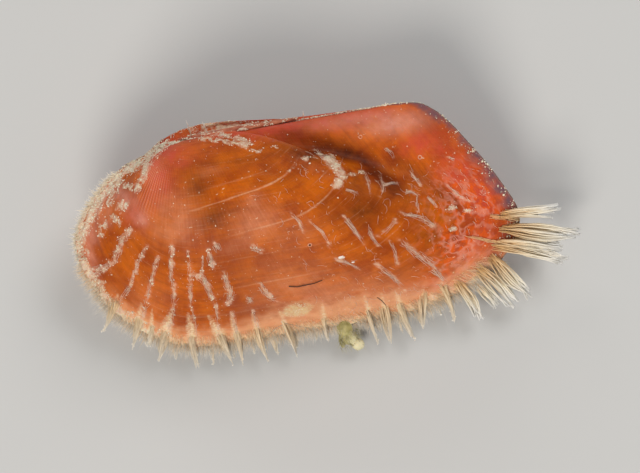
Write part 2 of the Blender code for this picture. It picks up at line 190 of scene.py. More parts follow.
# Loose bristle streaks on the posterior half: path, half width in mm and number of bristles.
STREAKS = (
    (((5.55, -4.19), (5.82, -4.75), (6.15, -5.48)), 0.08, 34),
    (((6.45, -4.86), (6.54, -5.3), (6.81, -5.86)), 0.06, 22),
    (((7.16, -5.5), (7.33, -5.95), (7.36, -6.72)), 0.06, 24),
    (((7.59, -5.58), (8.14, -6.19), (8.64, -6.83), (8.99, -7.15)), 0.12, 60),
    (((7.82, -4.48), (8.57, -4.83), (9.14, -5.31)), 0.1, 44),
    (((8.47, -2.82), (8.58, -3.1), (8.76, -3.51)), 0.06, 18),
    (((7.25, -3.28), (7.63, -3.22), (7.94, -3.28)), 0.06, 26),
    (((8.11, -3.73), (8.36, -3.69), (8.57, -3.9)), 0.06, 16),
    (((8.95, -4.01), (9.08, -4.2), (9.24, -4.49)), 0.06, 16),
    (((5.81, -3.18), (6.04, -3.27), (6.25, -3.43)), 0.05, 10),
    (((6.61, -2.53), (6.75, -3.1), (6.72, -3.56)), 0.06, 12),
    (((7.3, -2.78), (7.27, -3.41), (7.14, -3.68)), 0.05, 10),
    (((8.61, -3.87), (8.46, -4.3), (8.47, -4.73)), 0.06, 12),
    (((7.57, -4.73), (7.24, -5.01), (6.79, -5.26)), 0.07, 12),
    (((4.95, -5.85), (5.42, -6.15), (5.85, -6.49)), 0.07, 22),
    (((6.48, -6.39), (7.07, -6.96), (7.48, -7.67)), 0.09, 34),
    (((8.7, -6.96), (8.96, -7.31), (9.18, -7.73)), 0.1, 30),
    (((4.21, -4.2), (4.61, -4.69), (4.79, -5.32)), 0.06, 14),
    (((7.67, -1.75), (7.88, -1.96), (7.95, -2.26)), 0.05, 8),
    (((9.83, -3.66), (10.15, -4.15), (10.65, -4.53)), 0.06, 10),
    (((10.09, -2.57), (10.31, -2.7)), 0.04, 8),
    (((4.91, -1.28), (5.12, -1.74), (5.41, -1.93)), 0.07, 14),
    (((3.56, -3.74), (3.82, -4.13), (3.87, -4.56)), 0.06, 10),
)

# Pale marks under the streaks: partly their soft matted base, partly painted light against their cast shade.
STREAK_BASES_AND_LIGHT = tuple((path, 0.9 * width, 0.7) for path, width, _ in STREAKS)

# The ochre stalks of two fans, which lie on the shell before they pass its margin: path, half width, count.
STALKS = (
    (((10.1, -5.87), (10.8, -6.1), (11.55, -6.43), (12.3, -6.68)), 0.05, 26),
    (((11.3, -5.25), (11.9, -5.4), (12.6, -5.7)), 0.06, 26),
)

# The encrusting patch at the ventral margin.
MAT_CENTRE = (3.12, -7.68)
MAT_RADII = (0.60, 0.30)
PATCH_GRAINS = 340
FIBRE_STEPS = 12

# Silt that lies in strokes on the near valve, and on the far umbo, which shows above the hinge line.
CRUST_PATHS = (
    (((1.0, 0.1), (1.5, -0.05), (2.0, -0.35), (2.45, -0.75)), 0.16, 0.95),
    (((-1.68, -0.62), (-1.9, -1.22), (-2.26, -1.66)), 0.14, 1.0),
    (((-2.26, -1.66), (-2.79, -1.39), (-3.26, -1.56), (-3.46, -1.99)), 0.14, 0.9),
    (((-2.83, -2.15), (-3.32, -2.61), (-3.24, -2.87)), 0.18, 0.95),
    (((-3.84, -2.81), (-3.99, -3.2)), 0.16, 0.9),
    (((-3.68, -1.65), (-4.04, -2.05), (-4.45, -2.61)), 0.16, 0.9),
    (((-1.06, -0.1), (-1.66, -0.5), (-2.27, -0.73)), 0.17, 0.9),
    (((-2.27, -0.73), (-2.86, -0.87), (-3.42, -1.32), (-3.87, -1.79)), 0.17, 1.0),
    (((-3.87, -1.79), (-4.44, -2.53), (-5.01, -3.27), (-5.28, -3.89), (-5.27, -4.57)), 0.22, 1.0),
    (((-2.68, -2.93), (-2.99, -3.55)), 0.1, 0.55),
    (((-1.6, -0.85), (-1.25, -0.45), (-0.69, -0.05), (0.01, 0.04), (0.64, -0.12)), 0.06, 0.7),
    (((0.64, -0.12), (1.41, -0.35), (1.98, -0.58), (2.43, -0.79), (2.83, -1.07)), 0.11, 0.95),
    (((1.83, -0.04), (1.99, -0.54)), 0.1, 0.9),
    (((3.33, -0.99), (3.63, -1.18), (3.94, -1.49), (4.36, -1.65)), 0.1, 0.8),
    (((4.13, -1.56), (4.05, -1.8), (3.72, -2.04)), 0.06, 0.7),
    (((4.36, -1.65), (4.84, -1.69), (5.23, -1.55), (5.52, -1.73)), 0.12, 0.85),
    (((5.35, -1.79), (5.61, -2.17), (5.78, -2.63), (5.49, -2.91)), 0.18, 1.0),
    (((6.1, -2.64), (6.36, -2.56), (6.6, -2.57)), 0.1, 0.8),
    (((4.18, -2.0), (4.62, -2.25), (5.27, -2.28)), 0.05, 0.6),
    (((7.47, 0.15), (7.95, 0.1)), 0.07, 0.8),
)
FAR_PATHS = (
    (((0.95, 0.5), (1.45, 0.3), (1.95, 0.05), (2.4, -0.3)), 0.2, 0.95),
    (((0.11, 0.82), (0.21, 0.21)), 0.06, 0.9),
    (((0.65, 0.68), (0.75, 0.32), (0.88, -0.12)), 0.09, 0.9),
    (((1.33, 0.39), (1.71, 0.23), (2.01, 0.09)), 0.14, 0.9),
    (((1.9, -0.1), (2.49, 0.01), (2.99, 0.08)), 0.06, 0.8),
    (((1.12, 0.59), (2.01, 0.52), (2.79, 0.33)), 0.09, 0.8),
)

# Small cream lumps, and the small rings that something grown on the shell has left.
LUMPS = ((9.86, -4.64), (10.47, -4.88), (9.76, -5.51))
LUMP_RADII = (0.17, 0.1)
RINGS = ((4.05, -5.14), (6.76, -1.12), (8.95, -2.36))
RING_RADIUS = 0.07
RING_THICKNESS = 0.022

# Soft colour zones: middle, radii and strength.
TONES = {
    "rosy": (
        ((-1.39, -1.31), (0.64, 1.04), 1.0),
        ((-0.74, -0.33), (0.72, 0.32), 0.9),
        ((-0.28, -0.75), (0.8, 0.4), 0.5),
        ((-2.42, -2.6), (0.56, 0.72), 0.6),
        ((4.08, -0.2), (2.4, 0.4), 0.7),
        ((6.51, -0.23), (2.0, 0.48), 0.8),
        ((9.3, -1.75), (1.2, 0.56), 0.8),
        ((10.3, -3.03), (0.96, 0.8), 0.9),
        ((11.14, -4.54), (0.96, 1.2), 1.0),
        ((10.32, -6.5), (1.2, 0.96), 0.75),
        ((8.89, -7.76), (1.2, 0.52), 0.7),
        ((2.07, -0.05), (1.8, 0.36), 0.6),
    ),
    "haze": (
        ((-0.94, -2.96), (0.8, 1.0), 0.95),
        ((-1.59, -3.68), (0.64, 0.48), 0.6),
        ((0.69, -1.48), (0.48, 0.2), 0.5),
        ((2.17, -2.85), (0.36, 0.32), 0.6),
        ((2.16, -3.82), (0.88, 0.64), 0.9),
        ((1.13, -4.65), (1.2, 0.36), 0.4),
        ((3.73, -4.66), (1.04, 0.64), 0.3),
        ((3.01, -6.51), (1.76, 1.12), 0.7),
        ((5.25, -7.68), (2.4, 0.88), 0.95),
        ((7.22, -8.05), (1.4, 0.64), 0.8),
        ((0.48, -8.25), (3.2, 0.48), 0.6),
        ((-2.63, -6.24), (1.0, 0.8), 0.35),
    ),
    "umber": (
        ((0.11, -2.01), (0.56, 0.48), 0.9),
        ((0.06, -1.15), (0.8, 0.32), 0.5),
        ((0.58, -3.36), (0.88, 0.52), 1.0),
        ((2.26, -1.35), (2.0, 0.48), 0.35),
        ((3.52, -2.3), (1.4, 0.72), 0.3),
        ((6.25, -4.15), (1.12, 0.72), 0.9),
        ((8.84, -5.64), (0.72, 0.48), 0.8),
        ((6.23, -3.09), (0.48, 0.48), 0.5),
        ((4.92, -3.61), (0.4, 0.6), 0.4),
    ),
    "redbrown": (
        ((0.98, -5.3), (1.12, 0.8), 0.8),
        ((1.13, -6.8), (1.0, 0.72), 0.9),
        ((1.7, -7.54), (0.88, 0.32), 0.6),
        ((0.62, -4.3), (0.88, 0.4), 0.5),
        ((2.59, -6.56), (0.56, 0.4), 0.4),
        ((-0.8, -7.42), (0.88, 0.32), 0.45),
        ((7.86, -6.64), (0.8, 0.36), 0.5),
    ),
    "flame": (
        ((-3.5, -4.18), (0.88, 0.8), 0.8),
        ((-4.19, -3.42), (0.56, 0.8), 0.9),
        ((-2.4, -4.89), (0.8, 0.64), 0.5),
        ((6.21, -0.8), (1.2, 0.28), 0.9),
        ((8.85, -2.01), (1.0, 0.4), 0.7),
        ((7.95, -4.88), (0.88, 0.72), 0.6),
        ((5.16, -5.77), (1.0, 0.48), 0.6),
        ((3.87, -3.84), (1.0, 0.48), 0.5),
        ((4.54, -5.15), (0.72, 0.56), 0.5),
        ((9.14, -6.29), (0.64, 0.56), 0.7),
        ((7.37, -7.1), (1.0, 0.32), 0.6),
        ((9.05, -8.0), (0.8, 0.2), 0.8),
        ((0.52, 0.37), (0.56, 0.32), 0.7),
    ),
    "net": (
        ((10.55, -4.64), (1.36, 1.6), 1.0),
        ((9.69, -6.6), (1.2, 1.04), 0.9),
        ((8.86, -7.92), (1.2, 0.36), 0.6),
    ),
}
# Zones with sharper sides: the riblets that show at the umbo, and the pale dorsal crest.
CLEAR_TONES = {
    "comb": (((-1.55, -1.2), (0.5, 0.95), 1.0), ((-2.1, -2.3), (0.35, 0.5), 0.6)),
    "pale": (((8.3, -0.85), (1.3, 0.42), 1.0), ((6.4, -0.35), (1.6, 0.28), 0.6)),
}
# Thin pinkish cover on the anterior slope: middle and radii.
ANTERIOR_PINK = (
    ((-3.3, -1.5), (0.6, 0.45)), ((-3.95, -2.3), (0.45, 0.55)), ((-2.75, -2.1), (0.35, 0.45)),
    ((-4.75, -4.0), (0.28, 0.8)), ((-2.3, -2.9), (0.3, 0.35)), ((-4.45, -3.1), (0.3, 0.4)),
)

# Painted shade along the posterior groove, and its fainter tail.
GROOVE_SHADE = (
    (3.14, -0.96), (4.27, -1.46), (5.49, -1.47), (6.17, -1.73), (6.61, -2.06), (7.12, -2.62), (7.78, -3.5),
)
GROOVE_SHADE_TAIL = ((7.9, -2.1), (8.7, -2.91), (9.55, -3.83), (10.08, -4.56))

# Growth pauses that show as pale threads: stage and turn at the start, then at the end, and strength.
PAUSES = (
    (0.42, 0.33, 0.36, 0.60, 0.85), (0.513, 0.40, 0.468, 0.63, 0.85), (0.70, 0.36, 0.69, 0.50, 0.4),
    (0.36, 0.36, 0.33, 0.56, 0.25), (0.60, 0.30, 0.59, 0.50, 0.2), (0.82, 0.24, 0.81, 0.45, 0.3),
    (0.90, 0.22, 0.90, 0.45, 0.35),
)

# Loose whiskers on the posterior half point this way.
WHISKER_HEADING = math.radians(-62)
# Whiskers on the dorsal edge: from, to. Each is a wisp of a few hairs.
WISP_HAIRS = 9
EDGE_WHISKERS = (
    ((0.19, 0.13), (0.07, 0.83)), ((0.92, -0.13), (0.69, 0.67)), ((4.67, 0.1), (4.7, 0.36)),
    ((7.97, -0.02), (7.99, 0.14)), ((9.87, -1.22), (10.06, -1.09)), ((10.41, -1.66), (10.68, -1.5)),
    ((-3.28, -1.68), (-3.62, -1.28)), ((-3.99, -2.27), (-4.26, -1.93)),
)


def colour_of(code, alpha=1.0):
    """An sRGB hex colour as linear numbers."""
    parts = [int(code[i:i + 2], 16) / 255 for i in (1, 3, 5)]
    return (*[p / 12.92 if p <= 0.04045 else ((p + 0.055) / 1.055) ** 2.4 for p in parts], alpha)


def fill(tree, node, sockets):
    """Fills a node's sockets with values or links."""
    for key, value in sockets.items():
        if isinstance(value, bpy.types.NodeSocket):
            tree.links.new(value, node.inputs[key])
        else:
            node.inputs[key].default_value = value


def add_node(tree, kind, sockets=None, output=0, **settings):
    """Adds a node, sets it, fills its sockets and returns one of its outputs."""
    node = tree.nodes.new(kind)
    for key, value in settings.items():
        setattr(node, key, value)
    fill(tree, node, sockets or {})
    return node.outputs[output]


def smooth(value, low, high):
    """0 below low, 1 above high, and an eased step between them."""
    share = np.clip((value - low) / (high - low), 0.0, 1.0)
    return share * share * (3 - 2 * share)


def between(value, rise, full, fade, end):
    """1 from full to fade, 0 before rise and after end, with eased steps."""
    return smooth(value, rise, full) * (1 - smooth(value, fade, end))


def unit(vectors):
    """Vectors of length 1."""
    return vectors / np.maximum(np.linalg.norm(vectors, axis=-1, keepdims=True), 1e-9)


def margin_at(turn):
    """The margin, in mm, at each share of the way round; never above the hinge line."""
    count = len(OUTLINE)
    spans = np.linalg.norm(np.roll(OUTLINE, -1, 0) - OUTLINE, axis=1)
    starts = np.concatenate(([0.0], np.cumsum(spans)))
    along = (np.asarray(turn, float) % 1.0) * starts[-1]
    index = np.clip(np.searchsorted(starts, along, side="right") - 1, 0, count - 1)
    share = ((along - starts[index]) / spans[index])[..., None]
    before, start, end, after = (OUTLINE[(index + k) % count] for k in (-1, 0, 1, 2))
    bend = 2 * before - 5 * start + 4 * end - after
    swing = 3 * start - before - 3 * end + after
    point = 0.5 * (2 * start + (end - before) * share + bend * share**2 + swing * share**3)
    point[..., 1] = np.minimum(point[..., 1], 0.0)
    return point


def wall_at(stage, turn, ledges=True):
    """Points of the left valve's outer wall, in mm, in the shell frame."""
    margin = margin_at(turn)
    swing = GROWTH_TURN * (1 - stage) ** GROWTH_SPREAD
    angle = np.degrees(np.arctan2(margin[..., 1], margin[..., 0]))
    relief = np.zeros(np.broadcast(stage, turn).shape)
    for centre, drift, height, width, peak in RADIAL_FORMS:
        offset = angle - centre - drift * (stage - MID_GROWTH)
        relief += np.sin(math.pi * stage**peak) * height * np.exp(-((offset / width) ** 2))
    if ledges:
        below = np.clip(-margin[..., 1], 0.0, 1.0) * (1 - LEDGE_EASE * smooth(angle, *DORSAL_ANGLES))
        for ledge, step in LEDGES:
            rise = np.clip((stage - ledge + LEDGE_REACH) / LEDGE_REACH, 0.0, 1.0) ** 2
            relief += below * step * rise * (1 - smooth(stage, ledge, ledge + LEDGE_FALL))
    x = stage * margin[..., 0]
    y = stage * margin[..., 1] * np.cos(swing) + relief * np.sin(swing)
    z = -stage * margin[..., 1] * np.sin(swing) + BEAK_OFFSET * (1 - stage) + relief * np.cos(swing)
    return np.stack([x, y, z + COMMISSURE_GAP / 2], -1)


def outward_at(stage, turn, step=0.006):
    """The direction away from the left valve's wall."""
    below = np.maximum(stage - step, 0.02)
    along = wall_at(stage + step, turn, False) - wall_at(below, turn, False)
    across = wall_at(stage, turn + step, False) - wall_at(stage, turn - step, False)
    normal = unit(np.cross(across, along))
    inward = np.sum(normal * (wall_at(stage, turn, False) - CAVITY_CENTRE), -1, keepdims=True) < 0
    return np.where(inward, -normal, normal)


def seen_place(points, side=1):
    """Where the line of sight through each point crosses the commissure plane; side -1 is the far valve."""
    y = points[..., 1] - side * np.abs(points[..., 2]) * SIGHT_SLOPE
    return np.stack([points[..., 0], y], -1)


# The visible wall is sampled at this many stages and turns, and found in cells of this size: a point more
# than the depth below the highest one of its cell is hidden. Both are in mm.
VISIBLE_SAMPLES = (150, 600)
VISIBLE_CELL = 0.12
VISIBLE_DEPTH = 0.4


def visible_wall():
    """The visible points of the wall, as a tree of seen places with each one's stage and turn."""
    many, round_count = VISIBLE_SAMPLES
    grown = np.linspace(0.05, 1, many)
    stages = np.repeat(grown, round_count)
    turns = np.tile(np.arange(round_count) / round_count, many)
    points = wall_at(stages, turns)
    seen = seen_place(points)
    cells = tuple(np.floor((seen - seen.min(0)) / VISIBLE_CELL).astype(int).T)
    highest = np.full((max(cells[0]) + 1, max(cells[1]) + 1), -9.0)
    np.maximum.at(highest, cells, points[:, 2])
    near = points[:, 2] > highest[cells] - VISIBLE_DEPTH
    tree = kdtree.KDTree(int(near.sum()))
    for i, (x, y) in enumerate(seen[near]):
        tree.insert((x, y, 0.0), i)
    tree.balance()
    return tree, stages[near], turns[near]


SIGHT_TREE, VISIBLE_STAGES, VISIBLE_TURNS = visible_wall()


def growth_of(places, step=0.002, furthest=0.01):
    """Stage and turn of the visible wall behind each seen place."""
    places = np.asarray(places, float)
    near = [SIGHT_TREE.find((x, y, 0.0))[1] for x, y in places]
    stage, turn = VISIBLE_STAGES[near], VISIBLE_TURNS[near]
    for _ in range(2):
        here = seen_place(wall_at(stage, turn, False))
        by_stage = (here - seen_place(wall_at(stage - step, turn, False))) / step
        by_turn = (seen_place(wall_at(stage, turn + step, False)) - here) / step
        away = places - here
        area = by_stage[:, 0] * by_turn[:, 1] - by_stage[:, 1] * by_turn[:, 0]
        area = np.where(np.abs(area) < 1e-3, 1e-3, area)
        more_stage = (away[:, 0] * by_turn[:, 1] - away[:, 1] * by_turn[:, 0]) / area
        more_turn = (by_stage[:, 0] * away[:, 1] - by_stage[:, 1] * away[:, 0]) / area
        stage = np.clip(stage + np.clip(more_stage, -furthest, furthest), 0.05, 0.999)
        turn = turn + np.clip(more_turn, -furthest, furthest)
    return stage, turn


def laid(lines, lift):
    """Lines of seen places laid on the wall and lifted off it: lines by points by 2, and mm for each."""
    stage, turn = growth_of(lines.reshape(-1, 2))
    lifts = np.broadcast_to(lift, lines.shape[:2]).reshape(-1, 1)
    points = wall_at(stage, turn) + outward_at(stage, turn) * lifts
    return points.reshape(*lines.shape[:2], 3)


def along_path(path, share):
    """Points at shares of a path's length."""
    path = np.array(path)
    spans = np.linalg.norm(np.diff(path, axis=0), axis=1)
    starts = np.concatenate(([0.0], np.cumsum(spans))) / spans.sum()
    return np.stack([np.interp(share, starts, path[:, k]) for k in range(path.shape[1])], -1)


def bundle(draw, path, width, count, lengths):
    """Bristles strewn along a seen path, each on a part of it and straying a little to the side."""
    path = np.array(path)
    way = path[-1] - path[0]
    across = np.array((-way[1], way[0])) / np.linalg.norm(way)
    whole = np.linalg.norm(np.diff(path, axis=0), axis=1).sum()
    reach = np.minimum(draw.uniform(*lengths, count) / whole, 1.0)
    first = draw.uniform(0, 1, count) * (1 - reach)
    share = first[:, None] + reach[:, None] * np.linspace(0, 1, 4)
    stray = draw.normal(0, 0.6 * width, (count, 1))
    stray = stray + draw.normal(0, 0.45 * width, (count, 1)) * np.linspace(-1, 1, 4)
    return along_path(path, share) + stray[..., None] * across


def to_path(places, path):
    """Distance in mm from each place to a path of points."""
    nearest = np.full(places.shape[:-1], 99.0)
    for start, end in zip(path[:-1], path[1:]):
        start, end = np.array(start), np.array(end)
        along = end - start
        share = np.clip(((places - start) @ along) / (along @ along), 0, 1)
        nearest = np.minimum(nearest, np.linalg.norm(places - start - share[..., None] * along, axis=-1))
    return nearest


def beside(places, path, spread, wobble=0.0):
    """A soft line along a path: 1 on it."""
    return np.exp(-(((to_path(places, path) + wobble) / spread) ** 2))


def spot(places, centre, radii):
    """A soft round patch: 1 at its centre."""
    away = (places - np.array(centre)) / np.array(radii)
    return np.exp(-np.sum(away * away, -1))


def spots(places, zones):
    """Soft round patches together, each with its own strength."""
    return sum(strength * spot(places, middle, radii) for middle, radii, strength in zones)


def rough(points, size, seed, octaves=3):
    """Fractal noise at each point, about -1 to 1, with lumps of a size in mm."""
    flat = points.reshape(-1, 3) / size + seed * 7.3
    values = [noise.fractal(Vector(p), 0.9, 2.1, octaves) for p in flat]
    return np.array(values).reshape(points.shape[:-1])


def row_and_streak_light_marks(stage, points, seed):
    """How far each point lies on a row of matted bristles, or under a streak, where it is partly painted
    light.
    """
    seen = seen_place(points)
    wobble = rough(points, 0.45, seed + 3) * 0.05 + rough(points, 0.16, seed + 14) * 0.04
    clumps = rough(points, 0.22, seed + 4, 4)
    marks = np.zeros(stage.shape)
    for path, width, strength in (*ROWS, *STREAK_BASES_AND_LIGHT):
        spread = width * (0.75 + 0.5 * clumps + 0.9 * smooth(stage, 0.86, 1.0))
        marks = np.maximum(marks, strength * beside(seen, path, spread, wobble))
    return np.clip(marks * (0.7 + 1.1 * clumps), 0, 1)


def crust_marks(stage, turn, points, side, seed):
    """How thickly grainy silt covers each point."""
    seen = seen_place(points)
    lumpy = rough(points, 0.45, seed + 1, 4)
    fine = rough(points, 0.14, seed + 2, 3)
    dabs = smooth(rough(points, 0.3, seed + 20), -0.22, 0.12)
    wobble = 0.06 * fine + 0.10 * lumpy
    edge = between(turn, 0.045, 0.07, 0.25, 0.30) * smooth(stage + 0.05 * lumpy, 0.90, 0.97)
    slope = between(turn, 0.03, 0.05, 0.115, 0.15) * smooth(stage, 0.5, 0.8)
    dusty = 0.85 * slope * smooth(lumpy + 0.6 * fine, -0.3, 0.4)
    cover = np.maximum(edge * (0.62 + 0.5 * fine + 0.7 * lumpy), dusty)
    for path, width, strength in CRUST_PATHS:
        line = strength * beside(seen, path, width * (1.15 + 0.6 * lumpy), wobble)
        line *= 1 if strength == 1 else 0.2 + 0.8 * dabs
        cover = np.maximum(cover, line * (0.8 + 0.6 * fine + 0.35 * lumpy))
    if side < 0:
        for path, width, strength in FAR_PATHS:
            line = strength * beside(seen_place(points, side), path, 1.3 * width, 0.6 * wobble)
            cover = np.maximum(cover, line * (0.8 + 0.7 * fine))
    for place in LUMPS:
        cover = np.maximum(cover, spot(seen, place, LUMP_RADII) * (0.9 + 0.5 * fine))
    return np.clip(cover, 0, 1)


# A tuft's root is smeared over the wall in this many dabs, each smaller than the last.
ROOT_DABS = 6


def tone_marks(stage, turn, points, seed):
    """Soft masks of the wall's colour zones, each 0 to 1."""
    seen = seen_place(points)
    cloud = rough(points, 1.3, seed + 5)
    mottle = rough(points, 0.45, seed + 6, 4)
    shaken = seen + np.stack([cloud, mottle], -1) * 0.12
    marks = {}
    for name, zones in TONES.items():
        marks[name] = spots(shaken, zones) * (0.9 + 0.35 * cloud + 0.3 * mottle)
    # Painted shade in the posterior groove, with a fainter tail.
    groove = beside(shaken, GROOVE_SHADE, 0.3) * smooth(seen[..., 0], 2.6, 5.0)
    tail = 0.5 * beside(shaken, GROOVE_SHADE_TAIL, 0.28)
    marks["groove"] = np.maximum(groove, tail) * (1 + 0.3 * mottle)
    ventral = between(turn, 0.19, 0.25, 0.57, 0.63)
    widening = 0.05 * smooth(turn, 0.33, 0.42) - 0.06 * smooth(turn, 0.48, 0.56)
    marks["peach"] = ventral * smooth(stage + 0.03 * mottle + widening, 0.84, 0.95)
    marks["cream"] = ventral * smooth(stage + 0.025 * mottle, 0.93, 0.985)
    for root, tip, root_width, _ in LEFT_TUFTS:
        root = np.array(root)
        along = np.array(tip) - root
        along /= np.linalg.norm(along)
        for k in range(ROOT_DABS):
            dab = (0.75 - 0.09 * k) * root_width
            middle = root + along * (0.1 - 0.2 * k) - np.array((0.0, 0.06))
            smear = (1.1 - 0.12 * k) * spot(seen, middle, (dab, 2 * dab))
            marks["cream"] = np.maximum(marks["cream"], smear)
    marks["mat"] = spot(shaken, MAT_CENTRE, MAT_RADII) * (1.1 + 0.8 * mottle)
    marks["rim"] = between(turn, 0.60, 0.66, 0.84, 0.9) * smooth(stage + 0.03 * mottle, 0.925, 0.985)
    marks["edge"] = smooth(stage, 0.985, 0.998) * between(turn, 0.55, 0.62, 0.9, 0.95)
    for name, zones in CLEAR_TONES.items():
        marks[name] = spots(seen, zones)
    for middle, radii in ANTERIOR_PINK:
        marks["pale"] = marks["pale"] + 0.8 * spot(shaken, middle, radii) * (1 + 0.6 * mottle)
    return {name: np.clip(values, 0, 1) for name, values in marks.items()}


def to_world(points):
    """Shell frame in mm to the frame's metres."""
    turned = (points * MM) @ np.array(TILT).T + np.array(STAND)
    turned[..., 2] = np.maximum(turned[..., 2], 0.0)
    return turned


# How high the far umbo shows over the hinge line, as seen, and how softly it is held there.
FAR_TOP = np.array((
    (-2.9, -0.74), (-2.06, -0.4), (-1.13, 0.25), (-0.26, 0.55), (0.57, 0.65), (1.37, 0.59), (2.16, 0.47),
    (2.96, 0.38), (3.76, 0.32), (4.57, 0.30), (5.4, 0.22), (6.2, 0.14),
))
FAR_EASE = 0.25


def mirrored(points, side):
    """The same points on the left or the right valve, whose umbo is a little lower."""
    placed = points * np.array((1.0, 1.0, side))
    if side < 0:
        depth = np.abs(points[..., 2])
        start = np.interp(points[..., 0], FAR_TOP[:, 0], FAR_TOP[:, 1]) - FAR_EASE
        excess = np.maximum(seen_place(points, side)[..., 1] - start, 0.0)
        lower = (excess - FAR_EASE * (1 - np.exp(-excess / FAR_EASE))) * smooth(depth, 0.1, 0.5)
        placed[..., 1] -= 0.5 * lower
        placed[..., 2] += np.minimum(0.5 * lower / SIGHT_SLOPE, 0.8 * depth)
    return placed


def start_piece():
    """Deselects everything, in object mode, before a primitive is added."""
    if bpy.context.object and bpy.context.object.mode != "OBJECT":
        bpy.ops.object.mode_set(mode="OBJECT")
    bpy.ops.object.select_all(action="DESELECT")


def set_points(mesh, points):
    mesh.vertices.foreach_set("co", np.ascontiguousarray(points, dtype=np.float32).ravel())
    mesh.update()


def get_points(mesh):
    points = np.empty(len(mesh.vertices) * 3, dtype=np.float32)
    mesh.vertices.foreach_get("co", points)
    return points.reshape(-1, 3).astype(float)


def keep_marks(mesh, marks):
    """Stores one number per vertex under each name."""
    for name, values in marks.items():
        layer = mesh.attributes.new(name, "FLOAT", "POINT")
        layer.data.foreach_set("value", np.ascontiguousarray(values, dtype=np.float32).ravel())


def settle(piece, material, nodes=()):
    """Gives a finished piece its material and body, and hides the model nodes that it stands for."""
    piece.data.materials.clear()
    piece.data.materials.append(material)
    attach(piece, "root")
    if nodes:
        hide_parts(*nodes)


def template_of(make):
    """Models one small form with an operator and returns its points and faces."""
    start_piece()
    make()
    model = bpy.context.object
    points = get_points(model.data)
    faces = [tuple(p.vertices) for p in model.data.polygons]
    bpy.data.objects.remove(model, do_unlink=True)
    return points, faces


def joined(name, points, faces, marks, smooth_faces=True):
    """One mesh from many copies of a form: points is copies by form points by 3, in world metres."""
    copies, count = points.shape[:2]
    start_piece()
    mesh = bpy.data.meshes.new(name)
    every = [tuple(i + k * count for i in face) for k in range(copies) for face in faces]
    mesh.from_pydata(points.reshape(-1, 3), [], every)
    keep_marks(mesh, marks)
    piece = bpy.data.objects.new(name, mesh)
    bpy.context.scene.collection.objects.link(piece)
    piece.select_set(True)
    bpy.context.view_layer.objects.active = piece
    if smooth_faces:
        bpy.ops.object.shade_smooth()
    return piece


def silt_form():
    """A grain modelled once: an ico sphere, which the copies squeeze and turn."""
    def make():
        bpy.ops.mesh.primitive_ico_sphere_add(subdivisions=1, radius=1.0)
    return template_of(make)


def hair_form(segments, sides):
    """A bristle modelled upright, cut across at even steps: a point's height is its share of the length."""
    def make():
        bpy.ops.mesh.primitive_cylinder_add(vertices=sides, radius=1.0, depth=1.0, location=(0, 0, 0.5))
        bpy.ops.object.mode_set(mode="EDIT")
        for i in range(1, segments):
            bpy.ops.mesh.select_all(action="SELECT")
            bpy.ops.mesh.bisect(plane_co=(0, 0, i / segments), plane_no=(0, 0, 1))
        bpy.ops.object.mode_set(mode="OBJECT")
        bpy.ops.object.transform_apply(location=True, rotation=True, scale=True)
    return template_of(make)


# A direction that hardly any bristle takes: a bristle's sides are turned from it.
RING_HINT = (0.13, 0.21, 0.97)


def hairs(name, lines, radii, draw=None, tip=0.15, root=1.0, sides=3):
    """Joins bristles: lines is hairs by points by 3 in shell mm, radii one number per hair.

    Tip and root are the width there as a share of the radius, and draw gives each bristle its own tone.
    """
    steps = lines.shape[1] - 1
    points, faces = hair_form(steps, sides)
    share = points[:, 2]
    index = np.clip((share * steps).round().astype(int), 0, steps)
    centre = lines[:, index]
    ahead = np.clip(index + 1, 0, steps)
    behind = np.clip(index - 1, 0, steps)
    along = unit(lines[:, ahead] - lines[:, behind])
    across = unit(np.cross(along, RING_HINT))
    up = np.cross(across, along)
    width = radii[:, None] * (1 - (1 - tip) * share[None, :] ** 2)
    width = width * (root + (1 - root) * smooth(share, 0.0, 0.3))
    ring = across * (points[:, 0] * width)[..., None] + up * (points[:, 1] * width)[..., None]
    marks = {"along": np.broadcast_to(share, width.shape)}
    if draw is not None:
        marks["shade"] = np.broadcast_to(draw.random(len(lines))[:, None], width.shape)
    return joined(name, to_world(centre + ring), faces, marks)


def grains(name, centres, sizes, ups, draw, flat=0.7):
    """Joins lumps, each with its own tone: centres in shell mm, sizes in mm, pressed flat along ups."""
    points, faces = silt_form()
    count = len(centres)
    shade = draw.random(count)
    jitter = 1 + 0.28 * draw.standard_normal((count, len(points)))
    jitter = np.clip(jitter, 0.55, 1.5)
    local = points[None] * jitter[..., None] * sizes[:, None, None]
    local = local * draw.uniform(0.7, 1.3, (count, 1, 3))
    spin = draw.uniform(0, 2 * math.pi, count)
    side = unit(np.cross(ups, draw.standard_normal((count, 3))))
    front = np.cross(ups, side)
    turned_side = side * np.cos(spin)[:, None] + front * np.sin(spin)[:, None]
    turned_front = np.cross(ups, turned_side)
    placed = (
        centres[:, None]
        + local[..., 0:1] * turned_side[:, None]
        + local[..., 1:2] * turned_front[:, None]
        + local[..., 2:3] * flat * ups[:, None]
    )
    marks = {"shade": np.broadcast_to(shade[:, None], jitter.shape)}
    return joined(name, to_world(placed), faces, marks, smooth_faces=False)


MATH, RANGE, NOISE, MIX = "ShaderNodeMath", "ShaderNodeMapRange", "ShaderNodeTexNoise", "ShaderNodeMix"
MAPPING, ATTRIBUTE, BUMP = "ShaderNodeMapping", "ShaderNodeAttribute", "ShaderNodeBump"

